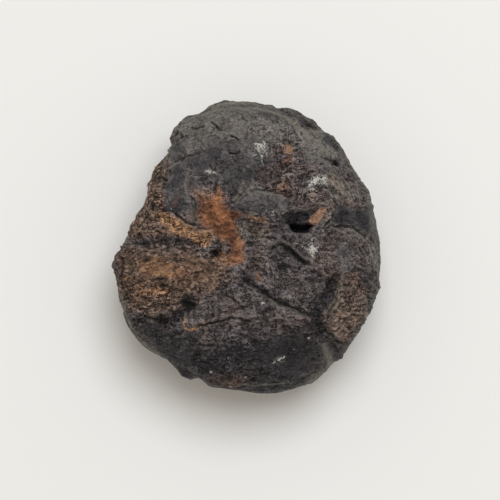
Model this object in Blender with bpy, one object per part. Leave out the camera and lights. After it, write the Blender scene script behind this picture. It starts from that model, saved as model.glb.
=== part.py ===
"""A worn ammonite turned to pyrite: one solid, lying on its flank.

X runs across the fossil, Y along it and Z up. It rests on the plane Z = 0, under the middle of its outline.
Lengths are in millimetres until the mesh is made. Places on the upper flank are given as (across, along) in
a plane that is tipped SIGHT_TIP towards -Y and passes through the middle of the girth.
"""

import math
from typing import NamedTuple

import bpy
import numpy as np
from mathutils import Vector, noise

# Driving dimensions
LENGTH = 56.0
GIRTH_HEIGHT = 12.6
CROWN_RISE = 13.6
FLANK_DROP = 13.7
SIGHT_TIP = math.radians(8.0)

# How square the section is: 2 is an ellipse, and more has flatter flanks and a fuller rim
CROWN_FULLNESS = 2.7
FLANK_FULLNESS = 2.3

# The lattice that the surface is worked on, and the triangles that are kept of it
CELLS_ACROSS = 104
CELLS_HIGH = 34
LATTICE_HALF_HEIGHT = 0.6
TRIANGLES = 9400

# The outline seen from above, anticlockwise from the right-hand side
OUTLINE = [
    (25.2, -0.5), (24.9, 2.6), (24.1, 5.6), (23.4, 7.8), (23.2, 9.5), (22.7, 11.0), (21.3, 13.4),
    (20.4, 14.6), (19.4, 16.5), (18.5, 18.4), (17.6, 20.3), (16.4, 21.6), (14.8, 22.3), (13.4, 23.4),
    (12.7, 24.3), (10.2, 25.5), (8.0, 26.5), (5.4, 26.9), (4.4, 27.5), (2.5, 27.9), (-1.0, 28.0),
    (-4.8, 28.1), (-7.2, 27.6), (-8.8, 26.6), (-9.9, 25.8), (-12.2, 25.3), (-13.5, 24.1), (-14.8, 22.3),
    (-15.5, 20.9), (-15.0, 19.7), (-15.2, 18.0), (-16.2, 16.8), (-18.6, 14.2), (-19.5, 12.3),
    (-19.7, 9.6), (-20.5, 7.6), (-21.6, 6.2), (-22.1, 4.6), (-23.3, 2.2), (-24.4, -0.6), (-25.1, -1.7),
    (-25.5, -2.6), (-25.4, -3.9), (-24.9, -5.2), (-25.1, -6.6), (-24.7, -9.8), (-24.2, -12.2),
    (-23.0, -15.6), (-20.9, -18.9), (-17.8, -20.8), (-16.0, -21.8), (-14.1, -23.5), (-12.9, -25.1),
    (-11.4, -25.6), (-9.9, -25.3), (-9.0, -25.9), (-7.4, -26.8), (-4.0, -27.5), (0.5, -28.1),
    (5.0, -27.9), (9.5, -27.1), (12.6, -25.8), (14.7, -24.2), (15.7, -22.7), (16.5, -21.9),
    (17.9, -21.4), (18.7, -19.9), (20.2, -17.6), (22.2, -13.8), (24.0, -9.8), (25.0, -6.2),
]
BROAD_WAVES = 5

# The axis that the shell coils round, which opens on both flanks
UMBILICUS = (-6.8, 1.0)


class Groove(NamedTuple):
    """A furrow along a path on the upper flank."""

    width: float
    depth: float
    path: list


class Ledge(NamedTuple):
    """A step up on the left of its path, which eases back over its reach."""

    height: float
    reach: float
    path: list


class Swell(NamedTuple):
    """An oval rise, or with a negative height a hollow, turned anticlockwise by some degrees."""

    place: tuple
    half_sizes: tuple
    turn: float
    height: float


SWELLS = {
    "upper whorl": Swell((-3.0, 17.5), (11.0, 6.5), -10, 0.9),
    "right shoulder": Swell((14.5, 15.0), (5.0, 7.0), 40, 0.7),
    "umbilicus": Swell(UMBILICUS, (5.5, 4.6), 30, -1.5),
    "umbilical pit": Swell((-6.2, -0.8), (0.9, 0.8), 0, -1.8),
    "bead under the pit": Swell((-6.3, -2.3), (1.0, 0.6), 10, 0.5),
    "brown lump": Swell((-17.0, -5.0), (6.5, 4.8), -8, 1.3),
    "knob on the left": Swell((-24.4, -3.2), (1.7, 1.9), 0, 0.6),
    "middle flank": Swell((6.0, -4.8), (6.5, 4.2), -30, 0.9),
    "lobe": Swell((3.2, 8.3), (5.2, 2.2), -6, 0.7),
    "lower lump": Swell((2.0, -18.5), (11.0, 6.0), 5, 0.8),
    "left foot of the lump": Swell((-13.5, -19.0), (4.5, 3.4), -35, 0.6),
    "right plate": Swell((19.6, -11.2), (3.6, 6.6), -22, 1.0),
    "scoop at the top right": Swell((11.6, 23.5), (2.0, 0.9), -38, -1.1),
    "facet below the scoop": Swell((15.2, 20.4), (2.4, 1.0), -50, -0.5),
    "recess": Swell((10.4, 5.3), (3.4, 1.9), 4, -1.7),
    "hole": Swell((10.1, 3.8), (2.0, 0.75), -3, -3.2),
    "dent on the plate": Swell((22.6, -7.4), (1.0, 1.9), -8, -0.4),
    "pit by the shoulder": Swell((16.6, 15.9), (0.6, 0.4), -45, -1.5),
    "pit in the lower rim": Swell((2.2, -27.0), (0.9, 0.35), -12, -0.8),
}

GROOVES = {
    "diagonal crack": Groove(
        0.75, 0.9,
        [(-1.6, -5.3), (0.6, -6.7), (3.0, -8.6), (5.2, -9.9), (8.2, -11.4), (11.4, -12.7), (14.4, -13.0)],
    ),
    "valley beside the right plate": Groove(
        1.5, 1.3,
        [(17.0, -4.2), (16.1, -6.6), (15.3, -9.2), (13.6, -11.8), (13.9, -14.8), (15.4, -17.4),
         (16.4, -20.0), (16.6, -23.4)],
    ),
    "pitted furrow": Groove(
        1.3, 0.8, [(-22.4, 1.2), (-18.6, 0.9), (-14.8, 1.0), (-11.2, 0.9), (-8.6, 1.3)],
    ),
    "furrow below the brown lump": Groove(
        1.0, 0.7, [(-22.0, -12.8), (-18.6, -13.8), (-14.6, -14.0), (-12.2, -12.4), (-10.2, -10.4)],
    ),
    "left crust furrow": Groove(0.9, 0.6, [(-20.0, 13.6), (-17.6, 13.4), (-15.6, 13.0)]),
    "notch at the upper left": Groove(0.7, 0.8, [(-15.9, 20.0), (-14.2, 20.7), (-12.9, 21.9)]),
    "crack across the upper whorl": Groove(0.6, 0.45, [(-14.6, 16.0), (-12.4, 17.1), (-10.6, 17.8), (-8.6, 18.2)]),
}

LEDGES = {
    "edge of the upper plate": Ledge(
        0.5, 4.0,
        [(-12.8, 21.6), (-14.8, 18.6), (-15.1, 16.0), (-15.4, 13.2), (-16.2, 11.2), (-16.7, 9.0), (-16.4, 6.4)],
    ),
    "lip below the first septum": Ledge(0.6, 2.4, [(-8.6, 3.2), (-11.2, 4.5), (-13.4, 5.8), (-15.6, 7.2)]),
    "second septum": Ledge(0.25, 2.6, [(-9.0, 3.6), (-10.2, 6.6), (-11.3, 9.8), (-11.4, 12.4), (-10.6, 15.2)]),
    "fourth septum": Ledge(0.6, 2.4, [(0.6, 13.2), (0.1, 11.4), (-1.6, 9.9), (-3.6, 8.2), (-4.6, 6.6)]),
    "upper edge of the lobe": Ledge(0.6, 3.0, [(7.4, 9.2), (4.6, 10.2), (1.6, 10.3), (-0.8, 9.6), (-2.6, 8.0)]),
    "shelf above the middle flank": Ledge(
        1.2, 3.4, [(3.4, -0.9), (4.9, 0.2), (6.3, 0.7), (8.4, -0.6), (10.4, -2.5), (12.8, -3.6)],
    ),
    "plate with a corner": Ledge(
        0.45, 3.0,
        [(-9.6, -10.2), (-11.6, -12.6), (-10.6, -14.9), (-5.6, -13.7), (-3.0, -13.1), (0.2, -13.6), (2.6, -12.6)],
    ),
    "inner plate": Ledge(
        0.3, 3.0, [(-5.4, -6.6), (-5.0, -8.6), (-3.0, -9.6), (-1.0, -11.1), (0.8, -10.2), (3.2, -10.2)],
    ),
    "left edge of the right plate": Ledge(
        1.0, 3.6,
        [(17.2, -3.8), (17.3, -6.8), (16.6, -9.8), (14.9, -12.4), (14.8, -14.8), (16.4, -17.8), (19.4, -18.5)],
    ),
    "crust on the right": Ledge(0.4, 4.0, [(15.6, 10.4), (17.2, 8.2), (20.8, 7.4), (24.4, 7.6)]),
    "smooth band on the right": Ledge(0.4, 2.6, [(13.2, 3.4), (15.4, 4.1), (18.6, 4.2), (20.6, 3.0), (23.4, 1.6)]),
    "lip right of the recess": Ledge(0.7, 2.0, [(13.6, 3.6), (15.2, 5.2), (16.1, 7.2), (15.4, 9.6)]),
    "crest at the top right": Ledge(
        0.6, 2.5,
        [(17.4, 16.0), (15.6, 18.3), (13.4, 20.7), (11.4, 22.0), (9.8, 23.4), (7.2, 24.8), (4.4, 25.6), (1.0, 26.6)],
    ),
    "lower rim": Ledge(
        0.35, 4.0, [(-12.6, -24.2), (-8.0, -25.2), (-3.0, -26.2), (3.0, -26.0), (8.6, -25.1), (13.4, -23.6)],
    ),
    "left rim": Ledge(
        0.35, 4.0, [(-24.6, -5.6), (-24.0, -8.6), (-23.6, -11.8), (-22.4, -14.6), (-19.6, -18.2), (-16.0, -20.9)],
    ),
}
LEDGE_RUN = 0.45

# The seam of the coil on the lower flank, a spiral that grows by COIL_GROWTH for each radian
COIL_START = 1.5
COIL_END = 15.0
COIL_GROWTH = 0.17
SEAM_WIDTH = 0.5
SEAM_DEPTH = 1.1
UNDER_UMBILICUS = Swell(UMBILICUS, (4.6, 4.2), 0, -1.8)

# Weathering: (size of the lumps, how far they stand out)
BROAD_WEAR = (9.0, 0.6)
FINE_WEAR = (2.6, 0.25)
# How much less the girth is worn, where the outline already has its bumps, and how high that reaches
GIRTH_CALM = 0.7
CALM_LEVEL = 0.35

PYRITE = (0.085, 0.082, 0.085, 1.0)
PYRITE_ROUGHNESS = 0.55
PYRITE_METALLIC = 0.25


def ease(start, end, value):
    """0 before start and 1 after end, with a smooth rise between."""
    share = np.clip((value - start) / (end - start), 0.0, 1.0)
    return share * share * (3.0 - 2.0 * share)


def lattice(across, high, half_height):
    """Directions to the points of a box's lattice, and the quads between them, facing out."""
    index = {}
    quads = []

    def point(i, j, k):
        return index.setdefault((i, j, k), len(index))

    def side(rows, columns, place):
        for a in range(rows):
            for b in range(columns):
                quads.append([point(*place(a + da, b + db)) for da, db in ((0, 0), (1, 0), (1, 1), (0, 1))])

    side(across, across, lambda a, b: (a, b, high))
    side(across, across, lambda a, b: (b, a, 0))
    side(across, high, lambda a, b: (a, 0, b))
    side(high, across, lambda a, b: (b, across, a))
    side(high, across, lambda a, b: (0, b, a))
    side(across, high, lambda a, b: (across, a, b))
    steps = np.array(list(index), float)
    # Equal angles, not equal lengths, keep the cells of each side alike in size
    spread = np.tan((steps / (across, across, high) - 0.5) * math.pi / 2)
    points = spread * (1.0, 1.0, half_height)
    return points / np.linalg.norm(points, axis=1)[:, None], quads


def outline_radius(angle):
    """How far the outline is from the middle at each angle."""
    points = np.array(OUTLINE)
    corner = np.unwrap(np.arctan2(points[:, 1], points[:, 0]))
    return np.interp(angle, corner, np.hypot(*points.T), period=2 * math.pi)


def broad_radius(angle):
    """The outline without its small bumps, as a few waves round the middle."""
    turn = np.linspace(0.0, 2 * math.pi, 720, endpoint=False)
    waves = np.fft.rfft(outline_radius(turn)) / len(turn)
    radius = np.full_like(angle, waves[0].real)
    for k in range(1, BROAD_WAVES + 1):
        radius += 2 * (waves[k] * np.exp(1j * k * angle)).real
    return radius


def body(directions):
    """The fossil without its relief: a full, rounded disc of the outline's shape."""
    angle = np.arctan2(directions[:, 1], directions[:, 0])
    level = np.abs(directions[:, 2])
    flat = np.hypot(directions[:, 0], directions[:, 1])
    above = directions[:, 2] > 0
    fullness = np.where(above, CROWN_FULLNESS, FLANK_FULLNESS)
    height = np.where(above, CROWN_RISE, FLANK_DROP)
    size = (flat**fullness + level**fullness) ** (1.0 / fullness)
    broad = broad_radius(angle)
    radius = broad + (outline_radius(angle) - broad) * ease(0.75, 0.25, level)
    points = directions * np.column_stack([radius, radius, height]) / size[:, None]
    return points + (0.0, 0.0, GIRTH_HEIGHT)


def seen_places(points):
    """Where each point lies in the tipped plane, as (across, along)."""
    along = points[:, 1] * math.cos(SIGHT_TIP) + (points[:, 2] - GIRTH_HEIGHT) * math.sin(SIGHT_TIP)
    return np.column_stack([points[:, 0], along])


def follow(places, path):
    """For each place: its distance from the path, positive on the left, and its share of the way along it."""
    corners = np.array(path, float)
    runs = np.linalg.norm(np.diff(corners, axis=0), axis=1)
    starts = np.concatenate([[0.0], np.cumsum(runs)])
    nearest = np.full(len(places), np.inf)
    signed = np.zeros(len(places))
    share = np.zeros(len(places))
    for a, b, run, start in zip(corners[:-1], corners[1:], runs, starts[:-1]):
        way = (b - a) / run
        from_a = places - a
        reach = np.clip(from_a @ way, 0.0, run)
        gap = np.linalg.norm(from_a - reach[:, None] * way, axis=1)
        closer = gap < nearest
        left = way[0] * from_a[:, 1] - way[1] * from_a[:, 0] > 0
        nearest[closer] = gap[closer]
        signed[closer] = np.where(left, gap, -gap)[closer]
        share[closer] = ((start + reach) / starts[-1])[closer]
    return signed, share


def fade_at_ends(share):
    return ease(0.0, 0.12, share) * ease(0.0, 0.12, 1.0 - share)


def swell_height(places, swell):
    turn = math.radians(swell.turn)
    off = places - swell.place
    across = off[:, 0] * math.cos(turn) + off[:, 1] * math.sin(turn)
    along = off[:, 1] * math.cos(turn) - off[:, 0] * math.sin(turn)
    return swell.height * np.exp(-((across / swell.half_sizes[0]) ** 2) - (along / swell.half_sizes[1]) ** 2)


def groove_height(places, groove):
    signed, share = follow(places, groove.path)
    return -groove.depth * np.exp(-((signed / groove.width) ** 2)) * fade_at_ends(share)


def ledge_height(places, ledge):
    signed, share = follow(places, ledge.path)
    step = ease(-LEDGE_RUN, LEDGE_RUN, signed) * np.exp(-np.maximum(signed, 0.0) / ledge.reach)
    return ledge.height * step * fade_at_ends(share)


def upper_relief(places):
    height = np.zeros(len(places))
    for swell in SWELLS.values():
        height += swell_height(places, swell)
    for groove in GROOVES.values():
        height += groove_height(places, groove)
    for ledge in LEDGES.values():
        height += ledge_height(places, ledge)
    return height


def lower_relief(places):
    """The other flank: a sunk umbilicus with the seam of the coil winding out of it."""
    off = places - UMBILICUS
    radius = np.maximum(np.hypot(*off.T), 0.1)
    turns = (np.log(radius / COIL_START) / COIL_GROWTH - np.arctan2(off[:, 1], off[:, 0])) / (2 * math.pi)
    gap = (turns - np.round(turns)) * 2 * math.pi * COIL_GROWTH * radius
    grown = SEAM_WIDTH * np.sqrt(radius / COIL_START)
    shown = ease(0.8, COIL_START, radius) * ease(COIL_END, 0.6 * COIL_END, radius)
    return swell_height(places, UNDER_UMBILICUS) - SEAM_DEPTH * np.exp(-((gap / grown) ** 2)) * shown


def wear(points, size, height):
    return height * np.array([noise.fractal(Vector(p / size), 1.0, 2.0, 3) for p in points])


def fossil_mesh():
    directions, quads = lattice(CELLS_ACROSS, CELLS_HIGH, LATTICE_HALF_HEIGHT)
    points = body(directions)
    mesh = bpy.data.meshes.new("ammonite")
    mesh.from_pydata(points.tolist(), [], quads)
    normals = np.empty(len(points) * 3, np.float32)
    mesh.vertex_normals.foreach_get("vector", normals)
    normals = normals.reshape(-1, 3)
    upper = ease(-0.05, 0.3, directions[:, 2])
    lower = ease(-0.1, -0.45, directions[:, 2])
    height = upper * upper_relief(seen_places(points))
    height += lower * lower_relief(points[:, :2])
    calm = 1.0 - GIRTH_CALM * np.exp(-((directions[:, 2] / CALM_LEVEL) ** 2))
    height += calm * (wear(points, *BROAD_WEAR) + wear(points, *FINE_WEAR))
    points = points + normals * height[:, None]
    low = points.min(axis=0)
    high = points.max(axis=0)
    points[:, :2] -= (low + high)[:2] / 2
    points *= LENGTH / (high - low)[1]
    # Worn flat where it rests
    points[:, 2] = np.maximum(points[:, 2], 0.0)
    mesh.vertices.foreach_set("co", (points / 1000.0).astype(np.float32).ravel())
    mesh.update()
    return mesh, 2 * len(quads)


def pyrite():
    material = bpy.data.materials.new("dark_pyrite")
    material.use_nodes = True
    surface = material.node_tree.nodes["Principled BSDF"]
    surface.inputs["Base Color"].default_value = PYRITE
    surface.inputs["Roughness"].default_value = PYRITE_ROUGHNESS
    surface.inputs["Metallic"].default_value = PYRITE_METALLIC
    return material


def main():
    for item in list(bpy.data.objects):
        bpy.data.objects.remove(item)
    mesh, triangles = fossil_mesh()
    fossil = bpy.data.objects.new("ammonite", mesh)
    bpy.context.scene.collection.objects.link(fossil)
    mesh.materials.append(pyrite())
    mesh.shade_smooth()
    thinning = fossil.modifiers.new("Fewer triangles", "DECIMATE")
    thinning.ratio = TRIANGLES / triangles
    thinning.use_collapse_triangulate = True


main()
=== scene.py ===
"""The looks of a worn ammonite turned to pyrite: its fine surface, its colours, the camera and the light.

Lengths on the stone are in millimetres until its mesh is made. Places on the upper flank are given as
(across, along) in the plane that the camera looks at, which is tipped SIGHT_TIP towards -Y and passes
through the middle of the girth. The main forms repeat those of the solid that this surface replaces.
"""

import math
from typing import NamedTuple

import bpy
import numpy as np
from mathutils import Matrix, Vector, noise


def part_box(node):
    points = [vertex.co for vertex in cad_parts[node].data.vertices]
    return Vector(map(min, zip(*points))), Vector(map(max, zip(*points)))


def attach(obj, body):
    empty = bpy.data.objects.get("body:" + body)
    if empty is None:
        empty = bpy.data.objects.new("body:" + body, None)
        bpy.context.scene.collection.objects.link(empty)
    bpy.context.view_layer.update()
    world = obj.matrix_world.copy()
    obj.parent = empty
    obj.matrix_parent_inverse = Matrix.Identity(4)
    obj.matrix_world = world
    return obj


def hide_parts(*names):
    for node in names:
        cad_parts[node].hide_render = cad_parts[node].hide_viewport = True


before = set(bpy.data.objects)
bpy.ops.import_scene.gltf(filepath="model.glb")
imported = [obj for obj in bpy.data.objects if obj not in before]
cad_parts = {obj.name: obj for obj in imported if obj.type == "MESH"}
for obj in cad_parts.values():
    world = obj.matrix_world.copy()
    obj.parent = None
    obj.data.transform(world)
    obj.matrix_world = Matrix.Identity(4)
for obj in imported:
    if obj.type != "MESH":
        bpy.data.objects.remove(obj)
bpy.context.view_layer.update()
NODE_LOW, NODE_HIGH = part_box("ammonite")

# Driving dimensions
LENGTH = (NODE_HIGH.y - NODE_LOW.y) * 1000.0
GIRTH_HEIGHT = 12.6
CROWN_RISE = 13.6
FLANK_DROP = 13.7
SIGHT_TIP = math.radians(8.0)
CROWN_FULLNESS = 2.7
FLANK_FULLNESS = 2.3

# The lattice that the surface is worked on, and the triangles that are kept of it
CELLS_ACROSS = 256
CELLS_HIGH = 62
LATTICE_HALF_HEIGHT = 0.6
TRIANGLES = 198000
# Below this level the lower flank keeps only a share of its triangles
UNSEEN_LEVEL = -0.12
UNSEEN_KEPT = 0.22

# The camera: how much it takes in across the stone's girth, and where on the stone its middle falls
FRAME_WIDTH = 95.4
FRAME_MIDDLE = (0.66, -0.5)
LENS = 240.0
SENSOR = 36.0

# The outline seen from above, anticlockwise from the right-hand side
OUTLINE = [
    (25.2, -0.5), (24.9, 2.6), (24.1, 5.6), (23.4, 7.8), (23.2, 9.5), (22.7, 11), (21.3, 13.4),
    (20.4, 14.6), (19.4, 16.5), (18.5, 18.4), (17.6, 20.3), (16.4, 21.6), (14.8, 22.3), (13.4, 23.4),
    (12.7, 24.3), (10.2, 25.5), (8, 26.5), (5.4, 26.9), (4.4, 27.5), (2.5, 27.9), (-1, 28), (-4.8, 28.1),
    (-7.2, 27.6), (-8.8, 26.6), (-9.9, 25.8), (-12.2, 25.3), (-13.5, 24.1), (-14.8, 22.3), (-15.5, 20.9),
    (-15, 19.7), (-15.2, 18), (-16.2, 16.8), (-18.6, 14.2), (-19.5, 12.3), (-19.7, 9.6), (-20.5, 7.6),
    (-21.6, 6.2), (-22.1, 4.6), (-23.3, 2.2), (-24.4, -0.6), (-25.1, -1.7), (-25.5, -2.6), (-25.4, -3.9),
    (-24.9, -5.2), (-25.1, -6.6), (-24.7, -9.8), (-24.2, -12.2), (-23, -15.6), (-20.9, -18.9),
    (-17.8, -20.8), (-16, -21.8), (-14.1, -23.5), (-12.9, -25.1), (-11.4, -25.6), (-9.9, -25.3),
    (-9, -25.9), (-7.4, -26.8), (-4, -27.5), (0.5, -28.1), (5, -27.9), (9.5, -27.1), (12.6, -25.8),
    (14.7, -24.2), (15.7, -22.7), (16.5, -21.9), (17.9, -21.4), (18.7, -19.9), (20.2, -17.6), (22.2, -13.8),
    (24, -9.8), (25, -6.2),
]
BROAD_WAVES = 5

# The axis that the shell coils round, which opens on both flanks
UMBILICUS = (-6.8, 1.0)


class Stroke(NamedTuple):
    """A line along a path: a furrow or a mark, of some half width and depth or strength."""

    width: float
    amount: float
    path: list


class Ledge(NamedTuple):
    """A step up on the left of its path, which eases back over its reach."""

    height: float
    reach: float
    path: list


class Oval(NamedTuple):
    """A rise, a hollow or a mark, turned anticlockwise by some degrees."""

    place: tuple
    half_sizes: tuple
    amount: float
    turn: float = 0.0


class Area(NamedTuple):
    """A region inside a closed outline, whose edge is soft over some width."""

    softness: float
    amount: float
    path: list


SWELLS = {
    "upper whorl": Oval((-3, 17.5), (11, 6.5), 0.9, -10),
    "right shoulder": Oval((14.5, 15), (5, 7), 0.7, 40),
    "umbilicus": Oval(UMBILICUS, (5.5, 4.6), -1.5, 30),
    "umbilical pit": Oval((-6.2, -0.8), (0.9, 0.8), -1.8),
    "bead under the pit": Oval((-6.3, -2.3), (1, 0.6), 0.5, 10),
    "brown lump": Oval((-17, -5), (6.5, 4.8), 1.3, -8),
    "knob on the left": Oval((-24.4, -3.2), (1.7, 1.9), 0.6),
    "middle flank": Oval((6, -4.8), (6.5, 4.2), 0.9, -30),
    "lobe": Oval((3.2, 8.3), (5.2, 2.2), 0.7, -6),
    "lower lump": Oval((2, -18.5), (11, 6), 0.8, 5),
    "left foot of the lump": Oval((-13.5, -19), (4.5, 3.4), 0.6, -35),
    "right plate": Oval((19.6, -11.2), (3.6, 6.6), 1, -22),
    "scoop at the top right": Oval((11.6, 23.5), (2, 0.9), -1.1, -38),
    "facet below the scoop": Oval((15.2, 20.4), (2.4, 1), -0.5, -50),
    "recess": Oval((10.4, 5.3), (3.4, 1.9), -1.7, 4),
    "dent on the plate": Oval((22.6, -7.4), (1, 1.9), -0.4, -8),
    "pit by the shoulder": Oval((16.6, 15.9), (0.6, 0.4), -1.5, -45),
    "pit in the lower rim": Oval((2.2, -27), (0.9, 0.35), -0.8, -12),
}

GROOVES = {
    "diagonal crack": Stroke(0.75, 0.9, [
        (-1.6, -5.3), (0.6, -6.7), (3, -8.6), (5.2, -9.9), (8.2, -11.4), (11.4, -12.7), (14.4, -13),
    ]),
    "valley beside the right plate": Stroke(1.5, 1.3, [
        (17, -4.2), (16.1, -6.6), (15.3, -9.2), (13.6, -11.8), (13.9, -14.8), (15.4, -17.4), (16.4, -20),
        (16.6, -23.4),
    ]),
    "pitted furrow": Stroke(1.3, 0.8, [(-22.4, 1.2), (-18.6, 0.9), (-14.8, 1), (-11.2, 0.9), (-8.6, 1.3)]),
    "furrow below the brown lump": Stroke(1, 0.7, [
        (-22, -12.8), (-18.6, -13.8), (-14.6, -14), (-12.2, -12.4), (-10.2, -10.4),
    ]),
    "left crust furrow": Stroke(0.9, 0.6, [(-20, 13.6), (-17.6, 13.4), (-15.6, 13)]),
    "notch at the upper left": Stroke(0.7, 0.8, [(-15.9, 20), (-14.2, 20.7), (-12.9, 21.9)]),
    "crack across the upper whorl": Stroke(0.6, 0.45, [
        (-14.6, 16), (-12.4, 17.1), (-10.6, 17.8), (-8.6, 18.2),
    ]),
}

LEDGES = {
    "edge of the upper plate": Ledge(0.5, 4, [
        (-12.8, 21.6), (-14.8, 18.6), (-15.1, 16), (-15.4, 13.2), (-16.2, 11.2), (-16.7, 9), (-16.4, 6.4),
    ]),
    "lip below the first septum": Ledge(0.6, 2.4, [(-8.6, 3.2), (-11.2, 4.5), (-13.4, 5.8), (-15.6, 7.2)]),
    "second septum": Ledge(0.25, 2.6, [
        (-9, 3.6), (-10.2, 6.6), (-11.3, 9.8), (-11.4, 12.4), (-10.6, 15.2),
    ]),
    "fourth septum": Ledge(0.6, 2.4, [(0.6, 13.2), (0.1, 11.4), (-1.6, 9.9), (-3.6, 8.2), (-4.6, 6.6)]),
    "upper edge of the lobe": Ledge(0.6, 3, [(7.4, 9.2), (4.6, 10.2), (1.6, 10.3), (-0.8, 9.6), (-2.6, 8)]),
    "shelf above the middle flank": Ledge(1.2, 3.4, [
        (3.4, -0.9), (4.9, 0.2), (6.3, 0.7), (8.4, -0.6), (10.4, -2.5), (12.8, -3.6),
    ]),
    "plate with a corner": Ledge(0.45, 3, [
        (-9.6, -10.2), (-11.6, -12.6), (-10.6, -14.9), (-5.6, -13.7), (-3, -13.1), (0.2, -13.6),
        (2.6, -12.6),
    ]),
    "inner plate": Ledge(0.3, 3, [
        (-5.4, -6.6), (-5, -8.6), (-3, -9.6), (-1, -11.1), (0.8, -10.2), (3.2, -10.2),
    ]),
    "left edge of the right plate": Ledge(1, 3.6, [
        (17.2, -3.8), (17.3, -6.8), (16.6, -9.8), (14.9, -12.4), (14.8, -14.8), (16.4, -17.8),
        (19.4, -18.5),
    ]),
    "crust on the right": Ledge(0.4, 4, [(15.6, 10.4), (17.2, 8.2), (20.8, 7.4), (24.4, 7.6)]),
    "smooth band on the right": Ledge(0.4, 2.6, [
        (13.2, 3.4), (15.4, 4.1), (18.6, 4.2), (20.6, 3), (23.4, 1.6),
    ]),
    "lip right of the recess": Ledge(0.7, 2, [(13.6, 3.6), (15.2, 5.2), (16.1, 7.2), (15.4, 9.6)]),
    "crest at the top right": Ledge(0.6, 2.5, [
        (17.4, 16), (15.6, 18.3), (13.4, 20.7), (11.4, 22), (9.8, 23.4), (7.2, 24.8), (4.4, 25.6),
        (1, 26.6),
    ]),
    "lower rim": Ledge(0.35, 4, [
        (-12.6, -24.2), (-8, -25.2), (-3, -26.2), (3, -26), (8.6, -25.1), (13.4, -23.6),
    ]),
    "left rim": Ledge(0.35, 4, [
        (-24.6, -5.6), (-24, -8.6), (-23.6, -11.8), (-22.4, -14.6), (-19.6, -18.2), (-16, -20.9),
    ]),
}
LEDGE_RUN = 0.25
LINE_WIDTH = 0.18
# The share of a path over which it fades in and out, and how many widths away a mark can still be felt
END_FADE = 0.12
WIDTHS_FELT = 4
# How plain a crack's dark line of painted shade is for its depth, and its width as a share of the crack's
CRACK_SHOWN = 2.2
CRACK_LINE = 0.8
# The pale lip under each crack, painted light where the lip faces the lamp: how pale it is, and how far below
LIP = 0.8
LIP_DROP = 0.38
# How much the brinks (wear and painted light) and the feet (painted shade) of ledges show beside the cracks
LEDGE_SHOWN = 0.55

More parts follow.
